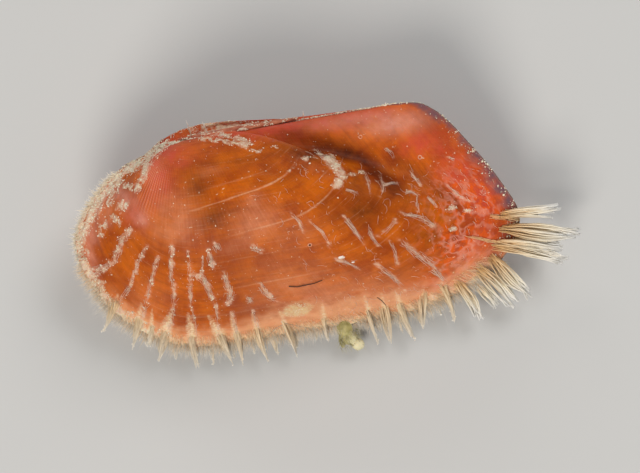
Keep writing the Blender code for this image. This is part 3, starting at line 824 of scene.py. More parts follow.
# The wall's noise fields: where each is read, its scale there, detail, roughness, and the range that is
# drawn out to 0 and 1. In metres of the frame, mottling is 1.2 mm across, blotches and cores 0.3 mm, grain
# 0.12 mm and specks 0.13 mm. In the growth's turn and stage, bands run along the margin and rays across it,
# 0.14 mm apart there.
WALL_NOISES = (
    ("mottle", "place", (850, 850, 850), 5.0, 0.6, 0.38, 0.62),
    ("blotch", "place", (3300, 3300, 3300), 4.0, 0.6, 0.35, 0.65),
    ("grain", "place", (8500, 8500, 8500), 4.0, 0.7, 0.34, 0.66),
    ("speck", "place", (7600, 7600, 7600), 2.0, 0.6, 0.685, 0.74),
    ("core", "place", (3000, 3000, 3000), 2.0, 0.5, 0.47, 0.58),
    ("band", "growth", (7, 46, 1), 5.0, 0.7, 0.3, 0.7),
    ("line", "growth", (11, 150, 1), 3.0, 0.6, 0.60, 0.72),
    ("ray", "growth", (330, 5, 1), 3.0, 0.7, 0.46, 0.68),
    ("vein", "growth", (62, 22, 1), 2.0, 0.5, 0.0, 1.0),
)
WALL_MARKS = (
    "umber", "redbrown", "flame", "rosy", "groove", "haze", "peach", "pale", "cream", "rim", "edge", "net",
    "comb", "rib_crest_highlight", "row", "crust", "mat",
)
BEADS = 105
THREAD_WAVER = 0.0022


def new_material(name):
    """An empty material with its shader: returns material, tree and shader."""
    material = bpy.data.materials.new(name)
    material.use_nodes = True
    tree = material.node_tree
    return material, tree, tree.nodes["Principled BSDF"]


def shell_material(name, look):
    """Aragonite shell under a worn, thin skin: waxy orange wall with riblets, growth lines and dry silt."""
    material, tree, shader = new_material(name)
    read = {"place": add_node(tree, "ShaderNodeTexCoord", output="Object"),
            "growth": add_node(tree, "ShaderNodeUVMap", output="UV", uv_map="growth")}
    turn = add_node(tree, "ShaderNodeSeparateXYZ", {0: read["growth"]})
    stage = turn.node.outputs[1]
    mark = {key: add_node(tree, ATTRIBUTE, output="Fac", attribute_name=key) for key in WALL_MARKS}
    field = {}
    for key, source, scale, detail, coarse, low, high in WALL_NOISES:
        at = add_node(tree, MAPPING, {"Vector": read[source], "Scale": scale})
        value = add_node(tree, NOISE, {"Vector": at, "Scale": 1.0, "Detail": detail, "Roughness": coarse})
        field[key] = add_node(tree, RANGE, {0: value, 1: low, 2: high})

    # Eased masks. A soft mask is clouded by blotches, and one that lies on the wall is broken into flecks by
    # the grain. Growth threads show only on the ventral half, and are worn.
    ease = {}
    for key, source, low, high, start, end in (
        ("waver", field["band"], 0.0, 1.0, -THREAD_WAVER, THREAD_WAVER),
        ("shown_from", turn, 0.18, 0.24, 0.0, 1.0),
        ("shown_to", turn, 0.58, 0.66, 1.0, 0.0),
        ("worn", field["grain"], 0.0, 0.6, 0.45, 1.0),
        ("on_haze", mark["haze"], 0.0, 1.0, 0.05, 0.30),
        ("cloud", field["blotch"], 0.0, 1.0, 0.7, 1.0),
        ("hollows", field["blotch"], 0.0, 1.0, 1.0, 0.0),
        ("between_rays", field["ray"], 0.0, 1.0, 0.78, 1.0),
        ("half_grain", field["grain"], 0.0, 1.0, 0.5, 1.0),
        ("flecks", field["grain"], 0.0, 1.0, 0.45, 1.4),
        ("gaps", field["mottle"], 0.0, 1.0, 0.35, 1.0),
        ("banding", field["band"], 0.4, 0.95, 0.0, 1.0),
        ("dullness", mark["crust"], 0.0, 1.0, 0.46, 0.85),
    ):
        ease[key] = add_node(tree, RANGE, {0: source, 1: low, 2: high, 3: start, 4: end})

    # Growth pauses: thin threads that waver round the margin and fade at both ends.
    wavering = add_node(tree, MATH, {0: stage, 1: ease["waver"]}, operation="ADD")
    threads = 0.0
    for first_stage, first_turn, last_stage, last_turn, strength in PAUSES:
        slope = (last_stage - first_stage) / (last_turn - first_turn)
        course = add_node(tree, MATH, {0: turn, 1: slope, 2: first_stage - slope * first_turn},
                          operation="MULTIPLY_ADD")
        apart = add_node(tree, MATH, {0: wavering, 1: course}, operation="SUBTRACT")
        aside = add_node(tree, MATH, {0: apart}, operation="ABSOLUTE")
        line = add_node(tree, RANGE, {0: aside, 1: 0.0006, 2: 0.0038, 3: 0.8 * strength, 4: 0.0})
        begins = add_node(tree, RANGE, {0: turn, 1: first_turn - 0.04, 2: first_turn + 0.06})
        ends = add_node(tree, RANGE, {0: turn, 1: last_turn - 0.06, 2: last_turn + 0.02, 3: 1.0, 4: 0.0})
        for fade in (begins, ends):
            line = add_node(tree, MATH, {0: line, 1: fade}, operation="MULTIPLY")
        threads = add_node(tree, MATH, {0: threads, 1: line}, operation="MAXIMUM")

    # The posterior end has pink veins round orange blotches 0.3 mm across.
    from_vein = add_node(tree, MATH, {0: field["vein"], 1: 0.5}, operation="SUBTRACT")
    beside_vein = add_node(tree, MATH, {0: from_vein}, operation="ABSOLUTE")
    veins = add_node(tree, RANGE, {0: beside_vein, 1: 0.012, 2: 0.07, 3: 1.0, 4: 0.0})

    # Fine commarginal threads, 0.08 mm apart, bead the riblets.
    wave = add_node(tree, MATH, {0: stage, 1: 2 * math.pi * BEADS}, operation="MULTIPLY")
    beads = add_node(tree, MATH, {0: wave}, operation="SINE")
    # The beads as a mask for the painted highlight on the riblet crests.
    bead_highlight = add_node(tree, RANGE, {0: beads, 1: -1.0, 2: 1.0, 3: 0.55, 4: 1.0})
    broken = {}
    for key in ("cream", "row", "crust", "mat"):
        mixed = add_node(tree, MATH, {0: mark[key], 1: ease["flecks"]}, operation="MULTIPLY")
        broken[key] = add_node(tree, RANGE, {0: mixed, 1: 0.22, 2: 0.9})

    # Layers of colour from below: colour, the masks that are multiplied, and the most of it.
    cloud = ease["cloud"]
    layers = (
        ("umber", (ease["banding"],), 0.34),
        ("umber", (mark["umber"], cloud), 0.95),
        ("redbrown", (mark["redbrown"], cloud), 0.8),
        ("flame", (mark["flame"], cloud), 0.8),
        ("rosy", (mark["rosy"], cloud), 0.85),
        ("flame", (field["core"], mark["net"]), 0.85),
        # Painted shade: the posterior groove is darkened in the colour.
        ("groove", (mark["groove"], cloud), 0.9),
        ("haze", (mark["haze"], ease["between_rays"], cloud), 0.85),
        ("haze", (field["ray"],), 0.05),
        ("pale", (mark["pale"], cloud), 0.75),
        ("peach", (mark["peach"], cloud), 0.85),
        ("pale", (veins, ease["half_grain"], mark["net"]), 0.8),
        # Painted highlight: haze colour on the riblet crests and beads.
        ("haze", (mark["rib_crest_highlight"], bead_highlight, ease["on_haze"]), 0.75),
        ("cream", (broken["cream"],), 0.85),
        ("rim", (mark["rim"], cloud), 0.95),
        ("edge", (mark["edge"],), 0.7),
        # Painted highlight: pale colour on the riblet crests and beads near the umbo.
        ("pale", (mark["comb"], mark["rib_crest_highlight"], bead_highlight), 0.75),
        ("thread", (field["line"], ease["shown_from"], ease["shown_to"], ease["worn"]), 0.2),
        ("thread", (threads, ease["worn"], ease["gaps"]), 0.85),
        ("mat", (broken["mat"],), 0.6),
        # Row colour, which under the streaks is partly painted light against the bristles' cast shade.
        ("row", (mark["row"], cloud), 0.3),
        ("row", (broken["row"],), 0.6),
        ("crust", (broken["crust"],), 0.94),
        ("silt", (broken["crust"], ease["hollows"]), 0.75),
        ("crust", (field["speck"],), 0.5),
    )
    colour = add_node(tree, MIX, {0: field["mottle"], 6: colour_of(look["orange_dark"]),
                                  7: colour_of(look["orange"])}, output=2, data_type="RGBA")
    for key, factors, most in layers:
        amount = most
        for factor in factors:
            amount = add_node(tree, MATH, {0: factor, 1: amount}, operation="MULTIPLY", use_clamp=True)
        colour = add_node(tree, MIX, {0: amount, 6: colour, 7: colour_of(look[key])}, output=2,
                          data_type="RGBA")
    height = add_node(tree, MATH, {0: beads, 1: 0.2, 2: field["grain"]}, operation="MULTIPLY_ADD")
    bump = add_node(tree, BUMP, {"Height": height, "Strength": 0.3, "Distance": 0.02 * MM})
    fill(tree, shader, {
        "Base Color": colour, "Roughness": ease["dullness"], "Normal": bump, "IOR": 1.53,
        "Specular IOR Level": 0.09, "Subsurface Weight": 0.15, "Subsurface Radius": (1.0, 0.3, 0.08),
        "Subsurface Scale": 0.3 * MM, "Coat Weight": 0.03, "Coat Roughness": 0.22,
    })
    return material


def bristle_material(name, base, middle, tip, alpha=1.0, gloss=0.04):
    """Dry conchiolin bristles: horny ochre at the root, paler towards a see-through tip."""
    material, tree, shader = new_material(name)
    along = add_node(tree, ATTRIBUTE, output="Fac", attribute_name="along")
    shade = add_node(tree, ATTRIBUTE, output="Fac", attribute_name="shade")
    ramp = add_node(tree, "ShaderNodeValToRGB", {0: along})
    stops = ramp.node.color_ramp.elements
    stops[0].color = colour_of(base)
    stops[0].position = 0.1
    stops[1].color = colour_of(tip)
    stops.new(0.55).color = colour_of(middle)
    varied = add_node(tree, RANGE, {0: shade, 3: 0.86, 4: 1.08})
    colour = add_node(tree, "ShaderNodeVectorMath", {0: ramp, "Scale": varied}, operation="SCALE")
    fill(tree, shader, {"Base Color": colour, "Roughness": 0.5, "IOR": 1.5, "Alpha": alpha,
                        "Specular IOR Level": gloss})
    return material


def silt_material(name, light, dark):
    """Dried lime silt: matt, pale and grainy, each grain its own tone."""
    material, tree, shader = new_material(name)
    place = add_node(tree, "ShaderNodeTexCoord", output="Object")
    shade = add_node(tree, ATTRIBUTE, output="Fac", attribute_name="shade")
    grain = add_node(tree, NOISE, {"Vector": place, "Scale": 14000.0, "Detail": 3.0})
    mixed = add_node(tree, MATH, {0: shade, 1: grain}, operation="MULTIPLY")
    colour = add_node(tree, MIX, {0: mixed, 6: colour_of(light), 7: colour_of(dark)}, output=2,
                      data_type="RGBA")
    bump = add_node(tree, BUMP, {"Height": grain, "Strength": 0.5, "Distance": 0.01 * MM})
    fill(tree, shader, {"Base Color": colour, "Normal": bump, "Roughness": 0.8, "Subsurface Weight": 0.1,
                        "Subsurface Radius": (0.6, 0.4, 0.3), "Subsurface Scale": 0.1 * MM})
    return material


def plain_material(name, dark, light, size, roughness):
    """A horny or fibrous surface: two tones of one colour in noise of a size in mm."""
    material, tree, shader = new_material(name)
    place = add_node(tree, "ShaderNodeTexCoord", output="Object")
    cloud = add_node(tree, NOISE, {"Vector": place, "Scale": 1000.0 / size, "Detail": 5.0})
    spread = add_node(tree, RANGE, {0: cloud, 1: 0.35, 2: 0.65})
    colour = add_node(tree, MIX, {0: spread, 6: colour_of(dark), 7: colour_of(light)}, output=2,
                      data_type="RGBA")
    bump = add_node(tree, BUMP, {"Height": cloud, "Strength": 0.5, "Distance": 0.02 * MM})
    fill(tree, shader, {"Base Color": colour, "Normal": bump, "Roughness": roughness})
    return material


def byssus_material(name):
    """Byssus gone to a soft mat: dull olive where it leaves the shell, straw coloured at its end."""
    material, tree, shader = new_material(name)
    place = add_node(tree, "ShaderNodeTexCoord", output="Object")
    pale = add_node(tree, ATTRIBUTE, output="Fac", attribute_name="pale")
    fibres = add_node(tree, NOISE, {"Vector": place, "Scale": 4500.0, "Detail": 4.0})
    cloud = add_node(tree, RANGE, {0: fibres, 1: 0.35, 2: 0.65})
    olive = add_node(tree, MIX, {0: cloud, 6: colour_of("#8C8248"), 7: colour_of("#BCB074")}, output=2,
                     data_type="RGBA")
    colour = add_node(tree, MIX, {0: pale, 6: olive, 7: colour_of("#E0D6AE")}, output=2, data_type="RGBA")
    bump = add_node(tree, BUMP, {"Height": fibres, "Strength": 0.4, "Distance": 0.02 * MM})
    fill(tree, shader, {"Base Color": colour, "Normal": bump, "Roughness": 0.55, "Subsurface Weight": 0.3,
                        "Subsurface Radius": (1.0, 0.8, 0.4), "Subsurface Scale": 0.2 * MM})
    return material


def wall_turns(columns):
    """Turns of the grid's columns: closer together on the free margin than on the hinge line."""
    fine = np.linspace(0, 1, 4001)
    free = margin_at(fine)[:, 1] < -0.02
    density = np.where(free, 1.0, 0.42)
    grown = np.concatenate(([0.0], np.cumsum((density[1:] + density[:-1]) / 2)))
    return np.interp(np.linspace(0, grown[-1], columns + 1), grown, fine)


def make_wall(name, side, columns, rows, inner_rows, riblet, seed):
    """One valve: a grid rolled round the beak, out over the relief and back under it to the beak."""
    start_piece()
    total = rows + inner_rows + 1
    bpy.ops.mesh.primitive_grid_add(x_subdivisions=columns, y_subdivisions=total, size=2)
    wall = bpy.context.object
    wall.name = wall.data.name = name
    flat = get_points(wall.data)
    column = ((flat[:, 0] + 1) / 2 * columns).round().astype(int)
    row = ((flat[:, 1] + 1) / 2 * total).round().astype(int)
    turn = wall_turns(columns)[column]
    outer = FIRST_STAGE + (1 - FIRST_STAGE) * (np.arange(rows) / (rows - 1)) ** STAGE_SPREAD
    inner = np.linspace(1.0, FIRST_INNER_STAGE, inner_rows)
    stage = np.concatenate(([FIRST_STAGE], outer, inner, [FIRST_INNER_STAGE]))[row]
    outside = row <= rows
    points = wall_at(stage, turn)
    normal = outward_at(stage, turn)

    crust = crust_marks(stage, turn, points, side, seed)
    # Matted rows, and under the streaks a pale mark that is partly painted light.
    matted = row_and_streak_light_marks(stage, points, seed)
    tones = tone_marks(stage, turn, points, seed)
    free = smooth(-margin_at(turn)[:, 1], 0.0, 0.6)

    # Riblets: two columns each on the later growth, four near the beak where they are closer.
    young = 1 - smooth(stage, 0.42, 0.58)
    beat = young * np.cos(math.pi * column / 3) + (1 - young) * 0.55 * np.cos(math.pi * column)
    worn = 0.2 + 1.5 * tones["comb"]
    worn *= 1 - 0.7 * smooth(turn, 0.58, 0.66)
    relief = riblet * beat * free * worn * smooth(stage, 0.06, 0.14)
    relief += 0.018 * rough(points, 1.1, seed + 9) * free
    relief += 0.010 * rough(points, 0.35, seed + 10, 4) * free
    grainy = rough(points, 0.11, seed + 11, 3)
    lumpy = rough(points, 0.3, seed + 12, 3)
    relief += crust * (0.045 + 0.04 * grainy + 0.06 * lumpy) + matted * (0.015 + 0.015 * grainy)
    relief += tones["mat"] * (0.02 + 0.03 * grainy)
    relief *= smooth(stage, FIRST_STAGE, 0.08) * (1 - 0.8 * smooth(stage, 0.985, 1.0))
    hollow = CAVITY_CENTRE + (wall_at(stage, turn, False) - CAVITY_CENTRE) * CAVITY_SHRINK
    points = np.where(outside[:, None], points + normal * relief[:, None], hollow)
    for pole, source in ((0, 1), (total, total - 1)):
        ring = row == source
        points[row == pole] = points[ring].mean(axis=0)
    away = (points - GAPE_CENTRE) / GAPE_RADII
    inside = np.clip(1 - away[:, 0] ** 2 - away[:, 1] ** 2, 0, 1)
    points[:, 2] = np.maximum(points[:, 2], np.where(inside > 0, GAPE_RADII[2] * np.sqrt(inside), -9))

    set_points(wall.data, to_world(mirrored(points, side)))
    # The rib mark is 1 on the riblet crests, where the shell material paints a highlight.
    keep_marks(wall.data, {**tones, "crust": crust, "row": matted, "rib_crest_highlight": 0.5 + 0.5 * beat})
    sheet = wall.data.uv_layers.active
    sheet.name = "growth"
    corner = np.empty(len(wall.data.loops), dtype=np.int32)
    wall.data.loops.foreach_get("vertex_index", corner)
    place = np.stack([turn[corner], stage[corner]], -1).astype(np.float32)
    sheet.data.foreach_set("uv", place.ravel())
    bpy.ops.object.mode_set(mode="EDIT")
    bpy.ops.mesh.select_all(action="SELECT")
    bpy.ops.mesh.remove_doubles(threshold=2e-7)
    bpy.ops.mesh.select_all(action="SELECT")
    bpy.ops.mesh.normals_make_consistent(inside=False)
    bpy.ops.object.mode_set(mode="OBJECT")
    bpy.ops.object.shade_smooth()
    return wall


SCATTER_BATCH = 4000
# Single grains that lie far from the silt.
LOOSE_GRAINS = 200


def evenly(stage, turn, points):
    """The same weight everywhere."""
    return np.ones_like(stage)


def scatter(draw, count, weight, turns, stages):
    """Random stages and turns on the wall, denser where the weight of stage, turn and points is high."""
    found_stage, found_turn = [], []
    total = 0
    while total < count:
        stage = np.sqrt(draw.uniform(stages[0] ** 2, stages[1] ** 2, SCATTER_BATCH))
        turn = draw.uniform(*turns, SCATTER_BATCH)
        points = wall_at(stage, turn)
        kept = draw.uniform(0, 1, SCATTER_BATCH) < weight(stage, turn, points)
        found_stage.append(stage[kept])
        found_turn.append(turn[kept])
        total += kept.sum()
    return np.concatenate(found_stage)[:count], np.concatenate(found_turn)[:count]


def wall_height(inside):
    """Height in mm of the wall over the commissure, at a distance inside the margin."""
    return (VENTRAL_REACH - inside) * np.sin(GROWTH_TURN * (inside / VENTRAL_REACH) ** GROWTH_SPREAD)


# The two kinds of tuft: bundles in a tuft, share of its bristles, their thickness and their blunt tip, how
# wide they end, how deep they are rooted and how far they stray in a bundle.
TUFT_KINDS = {
    "spikes": {
        "bundles": 2, "many": 1.25, "thick": 0.85, "tip": 0.35, "wide": 1.2, "deep": 0.85, "stray": 0.30,
    },
    "fans": {
        "bundles": 6, "many": 0.6, "thick": 1.7, "tip": 0.85, "wide": 1.0, "deep": 0.5, "stray": 0.34,
    },
}


def tuft_lines(draw, tufts, side, per_tuft, kind):
    """Centre lines of bundled bristles: each tuft splits into ragged bundles towards its tip."""
    lines = []
    share = np.linspace(0, 1, TUFT_STEPS + 1)[:, None]
    fan = kind == "fans"
    look = TUFT_KINDS[kind]
    bundles = look["bundles"]
    for root, tip, root_width, tip_width in tufts:
        root, tip = np.array((*root, 0.0)), np.array((*tip, 0.0))
        along = tip - root
        length = np.linalg.norm(along)
        along /= length
        across = np.array((-along[1], along[0], 0.0))
        spread = look["wide"] * tip_width
        for k in range(bundles):
            middle = (k + 0.5) / bundles - 0.5
            reach = draw.uniform(0.80, 1.02) if fan else 1 - 0.2 * draw.random() ** 1.5
            lean = draw.normal(0, 0.10)
            bow = draw.normal(0, 0.05, 3) * length
            for _ in range(int(per_tuft * (0.7 + 0.5 * length) / bundles)):
                inside = 0.05 + look["deep"] * draw.random() ** 1.5
                at_root = middle + draw.normal(0, 0.22)
                at_tip = middle + lean + draw.normal(0, look["stray"] / bundles)
                start = root - along * inside + across * at_root * root_width
                short = 0.08 if fan else 0.25 + 0.9 * abs(at_root)
                end = root + along * length * reach * (1 - short * draw.random())
                end += across * at_tip * spread
                start[2] = wall_height(inside) + draw.uniform(0.0, 0.05)
                end[2] = TUFT_HEIGHT + 0.05 * length + draw.normal(0, 0.05)
                opening = share**1.35 if fan else share
                line = start + (end - start) * share
                line += across * (at_tip * spread - at_root * root_width) * (opening - share)
                line += (bow + draw.normal(0, 0.02 * length, 3)) * np.sin(math.pi * share)
                line[:, 2] = np.maximum(line[:, 2], 0.04) * side
                lines.append(line)
    return np.array(lines)


def right_tufts():
    """Tufts at even steps along the ventral margin of the right valve, leaning out from its middle."""
    tufts = []
    margin = margin_at(np.linspace(0, 1, 801))
    first, last = RIGHT_TUFT_SPAN
    for i in range(RIGHT_TUFT_COUNT):
        x = first + (last - first) * i / (RIGHT_TUFT_COUNT - 1)
        away = np.linalg.norm(margin - np.array((x, OUTLINE[:, 1].min())), axis=1)
        near = margin[away.argmin()] * RIGHT_TUFT_INSET
        lean = np.array((RIGHT_TUFT_LEAN * (x - RIGHT_TUFT_MIDDLE), -1.0))
        lean /= np.linalg.norm(lean)
        if abs(near[0] - GAPE_CENTRE[0]) >= GAPE_CLEARANCE:
            tip = near + lean * RIGHT_TUFT_LENGTHS[i % len(RIGHT_TUFT_LENGTHS)]
            tufts.append((tuple(near), tuple(tip), *RIGHT_TUFT_WIDTHS))
    return tufts


def margin_lines(draw, count, turns, lengths, stages, stray):
    """Lines of short hairs that are rooted near the left valve's margin and comb over it."""
    turn = draw.uniform(*turns, count)
    stage = draw.uniform(*stages, count)
    margin = margin_at(turn)
    ahead = margin_at(turn + 0.002) - margin_at(turn - 0.002)
    away = unit(np.stack([ahead[:, 1], -ahead[:, 0], np.zeros(count)], -1))
    away[np.sum(away[:, :2] * (margin - CAVITY_CENTRE[:2]), 1) < 0] *= -1
    length = draw.uniform(*lengths, count)[:, None]
    share = np.linspace(0, 1, 4)[None, :]
    reach = np.linalg.norm(margin, axis=1)[:, None]
    grown = stage[:, None] + length * share / reach
    beyond = np.maximum(grown - 1, 0)[..., None] * reach[..., None]
    lines = wall_at(np.minimum(grown, 1.0), np.broadcast_to(turn[:, None], grown.shape))
    lines = lines + away[:, None] * beyond + outward_at(stage, turn)[:, None] * (0.012 + 0.25 * beyond)
    sideways = draw.normal(0, stray, (count, 3))[:, None] * length[..., None] * share[..., None]
    curl = draw.normal(0, 0.03, (count, 1, 3)) * np.sin(math.pi * share[..., None])
    lines = lines + sideways + curl
    lines[..., 2] = np.maximum(lines[..., 2], 0.01)
    return lines


def whisker_lines(draw, count):
    """Seen lines of loose hairs strewn over the posterior half, most of them combed the same way."""
    stage, turn = scatter(draw, count, evenly, (0.44, 0.70), (0.35, 0.97))
    start = seen_place(wall_at(stage, turn))
    heading = draw.normal(WHISKER_HEADING, 0.55, count)
    reach = draw.uniform(0.10, 0.42, count)
    share = np.linspace(0, 1, 4)[None, :, None]
    way = np.stack([np.cos(heading), np.sin(heading)], -1) * reach[:, None]
    curl = np.stack([-way[:, 1], way[:, 0]], -1) * draw.normal(0, 0.25, (count, 1))
    return start[:, None] + way[:, None] * share + curl[:, None] * np.sin(math.pi * share)


class ShellSettings(bpy.types.PropertyGroup):
    """Grid, relief and colours of the valves."""

    columns: bpy.props.IntProperty(name="Columns", description="Grid columns round a valve", default=712)
    rows: bpy.props.IntProperty(name="Rows", description="Grid rows from beak to margin", default=114)
    inner_rows: bpy.props.IntProperty(name="Inner rows", description="Grid rows inside a valve", default=12)
    riblet: bpy.props.FloatProperty(
        name="Riblet height", description="Height of the radial riblets, in mm", default=0.011)
    orange: bpy.props.StringProperty(name="Orange", description="Wall colour", default="#D06400")
    orange_dark: bpy.props.StringProperty(name="Deep orange", description="Clouded wall", default="#A44200")
    umber: bpy.props.StringProperty(name="Umber", description="Dark patches", default="#6E2E00")
    redbrown: bpy.props.StringProperty(name="Red brown", description="Under the rows", default="#86361A")
    flame: bpy.props.StringProperty(name="Flame", description="Vivid patches", default="#EA5C00")
    rosy: bpy.props.StringProperty(name="Rosy", description="Umbo, dorsal and posterior", default="#D24C3A")
    # Colour of the painted shade in the posterior groove.
    groove: bpy.props.StringProperty(name="Groove", description="Posterior groove", default="#4A0C00")
    haze: bpy.props.StringProperty(name="Haze", description="Worn skin over the wall", default="#DC8A60")
    peach: bpy.props.StringProperty(name="Peach", description="Ventral zone", default="#EEAE80")
    pale: bpy.props.StringProperty(name="Pale", description="Dorsal crest and net", default="#E69A82")
    cream: bpy.props.StringProperty(name="Cream margin", description="Ventral margin", default="#F4DCB4")
    rim: bpy.props.StringProperty(name="Rim", description="Posterior dorsal rim", default="#6C5058")
    edge: bpy.props.StringProperty(name="Edge", description="Thin pale edge of the rim", default="#D8B4A4")
    thread: bpy.props.StringProperty(name="Thread", description="Growth threads", default="#E8B690")
    # The row colour also paints the streak bases, partly as painted light.
    row: bpy.props.StringProperty(name="Row", description="Matted bristle rows", default="#F0CCB0")
    crust: bpy.props.StringProperty(name="Crust", description="Dry silt", default="#F0E4C8")
    silt: bpy.props.StringProperty(name="Silt", description="Hollows of the silt", default="#D09C80")
    mat: bpy.props.StringProperty(name="Mat", description="Encrusting patch", default="#E2D2A0")

    def colours(self):
        """The colours above, by name."""
        kinds = self.bl_rna.properties.items()
        return {name: getattr(self, name) for name, kind in kinds if kind.type == "STRING"}


class BristleSettings(bpy.types.PropertyGroup):
    """Number and thickness of the bristles."""

    per_tuft: bpy.props.IntProperty(name="Per tuft", description="Bristles in a tuft 1 mm long", default=64)
    radius: bpy.props.FloatProperty(name="Radius", description="Bristle radius, in mm", default=0.016)
    fringe: bpy.props.IntProperty(name="Fringe", description="Fine hairs along one margin", default=2600)
    fuzz: bpy.props.IntProperty(name="Fuzz", description="Short hairs on one anterior edge", default=1300)
    fur: bpy.props.IntProperty(name="Fur", description="Combed hairs over one margin", default=2600)
    whiskers: bpy.props.IntProperty(
        name="Whiskers", description="Loose hairs on one posterior half", default=190)


class StageSettings(bpy.types.PropertyGroup):
    """Floor, light and camera."""

    floor: bpy.props.StringProperty(name="Floor", description="Floor colour", default="#C9C8C5")
    lens: bpy.props.FloatProperty(name="Lens", description="Focal length, in mm", default=250.0)
    view_width: bpy.props.FloatProperty(
        name="View width", description="Width of the view, in mm", default=25.6)
    roll: bpy.props.FloatProperty(
        name="Roll", description="How far the hinge line rises to the right", default=math.radians(10),
        subtype="ANGLE")
    elevation: bpy.props.FloatProperty(
        name="Elevation", description="Height of the camera above the horizon", default=math.radians(82),
        subtype="ANGLE")


# Each valve's name, its side and the seed of its random draws.
SIDES = (("left", 1, 11), ("right", -1, 23))


class ARKCLAM_OT_valves(bpy.types.Operator):
    """Make both valves with their riblets, growth threads, ledges and silt"""

    bl_idname = "arkclam.valves"
    bl_label = "Valves"

    def execute(self, context):
        look = context.scene.arkclam_shell
        for word, side, seed in SIDES:
            wall = make_wall(f"{word}_shell_wall", side, look.columns, look.rows, look.inner_rows,
                             look.riblet, seed)
            material = shell_material(f"aragonite_{word}", look.colours())
            settle(wall, material, [f"{word}_valve"])
        return {"FINISHED"}


class ARKCLAM_OT_tufts(bpy.types.Operator):
    """Make the bundled bristles of the margin's tufts and posterior fans"""

    bl_idname = "arkclam.tufts"
    bl_label = "Tufts"

    def execute(self, context):
        look = context.scene.arkclam_bristles
        materials = {
            "spikes": bristle_material("conchiolin_spike", "#FFE2B4", "#FFECCC", "#FFF6E6", 1.0, 0.06),
            "fans": bristle_material("conchiolin_fan", "#F6CC90", "#FFF2D8", "#FFFCF6", 0.95, 0.08),
        }
        beads = silt_material("dried_drops", "#FFF8EC", "#F0E0C4")
        tufts = {
            "left": {"spikes": LEFT_TUFTS, "fans": LEFT_FANS},
            "right": {"spikes": right_tufts(), "fans": RIGHT_FANS},
        }
        for word, side, seed in SIDES:
            draw = np.random.default_rng(seed)
            for kind, form in TUFT_KINDS.items():
                lines = tuft_lines(draw, tufts[word][kind], side, look.per_tuft * form["many"], kind)
                radii = look.radius * draw.uniform(0.7, 1.35, len(lines)) * form["thick"]
                piece = hairs(f"{word}_bristle_{kind}", lines, radii, draw, tip=form["tip"], root=0.4)
                settle(piece, materials[kind])
                if kind == "spikes":
                    tips = lines[::TIP_EVERY, -1]
                    tips = tips + draw.normal(0, 0.02, tips.shape)
                    ups = np.tile((0.0, 0.0, float(side)), (len(tips), 1))
                    sizes = draw.uniform(0.014, 0.04, len(tips))
                    piece = grains(f"{word}_tip_beads", tips, sizes, ups, draw, flat=1.0)
                    settle(piece, beads)
        return {"FINISHED"}


class ARKCLAM_OT_fringe(bpy.types.Operator):
    """Make the fine fringe between the tufts, the fur over the margin and the fuzz on the anterior edge"""

    bl_idname = "arkclam.fringe"
    bl_label = "Fringe"

    def execute(self, context):
        look = context.scene.arkclam_bristles
        fine = bristle_material("conchiolin_fringe", "#FFF0D8", "#FFF6E8", "#FFFCF6", 0.75)
        woolly = bristle_material("silty_fuzz", "#FFEAC8", "#FFF2DC", "#FFFAF0", 1.0)
        combed = bristle_material("margin_fur", "#FFD4A4", "#FFE6C4", "#FFF6E4", 1.0)
        # Radius in mm, count, turns, lengths in mm, stages, and how far the hairs stray.
        kinds = (
            ("fringe", fine, 0.007, look.fringe, (0.20, 0.60), (0.25, 0.58), (0.97, 1.0), 0.30),
            ("fuzz", woolly, 0.012, look.fuzz, (0.075, 0.255), (0.08, 0.27), (0.93, 1.0), 0.34),
            ("margin_fur", combed, 0.008, look.fur, (0.17, 0.60), (0.22, 0.52), (0.925, 0.995), 0.13),
        )
        for word, side, seed in SIDES:
            draw = np.random.default_rng(seed + 40)
            for kind, material, radius, count, *growth in kinds:
                lines = margin_lines(draw, count, *growth)
                radii = radius * draw.uniform(0.7, 1.4, count)
                piece = hairs(f"{word}_{kind}", mirrored(lines, side), radii, draw)
                settle(piece, material)
        return {"FINISHED"}


class ARKCLAM_OT_crust(bpy.types.Operator):
    """Scatter silt grains and matted hairs over the crusted slope, rows and ridge"""

    bl_idname = "arkclam.crust"
    bl_label = "Crust"

    def execute(self, context):
        silt = silt_material("lime_silt", "#F2E8D0", "#D8BC98")
        mat = bristle_material("matted_bristles", "#FFDABC", "#FFE4CE", "#FFEFE0", 0.9)
        for word, side, seed in SIDES:
            draw = np.random.default_rng(seed + 80)

            def silty(stage, turn, points):
                return crust_marks(stage, turn, points, side, seed) ** 1.3

            def rowed(stage, turn, points):
                return row_and_streak_light_marks(stage, points, seed) ** 1.2

            def rimmed(stage, turn, points):
                return smooth(stage, 0.94, 1.0) * smooth(rough(points, 0.4, seed + 30), -0.2, 0.4)

            # Grains, where they lie, turns and stages.
            spreads = (
                (5200, silty, (0.0, 1.0), (0.05, 1.0)),
                (600, rowed, (0.05, 0.42), (0.4, 1.0)),
                (420, rimmed, (0.60, 0.92), (0.93, 1.0)),
                (LOOSE_GRAINS, evenly, (0.1, 0.75), (0.2, 1.0)),
            )
            placed = [scatter(draw, *spread) for spread in spreads]
            stage, turn = (np.concatenate(found) for found in zip(*placed))
            ups = outward_at(stage, turn)
            sizes = 0.010 + 0.028 * draw.random(len(stage)) ** 2.5
            sizes[-LOOSE_GRAINS:] *= 0.7
            centres = wall_at(stage, turn) + ups * (0.012 + 0.035 * draw.random(len(stage)))[:, None]
            ups = ups * np.array((1.0, 1.0, side))
            piece = grains(f"{word}_silt_grains", mirrored(centres, side), sizes, ups, draw)
            settle(piece, silt)

            seen = [bundle(draw, path, 0.85 * width, int(13 * strength * len(path)), (0.12, 0.42))
                    for path, width, strength in ROWS]
            seen = np.concatenate(seen)
            lines = mirrored(laid(seen, draw.uniform(0.012, 0.045, len(seen))[:, None]), side)
            radii = draw.uniform(0.004, 0.009, len(seen))
            settle(hairs(f"{word}_matted_rows", lines, radii, draw), mat)
        return {"FINISHED"}


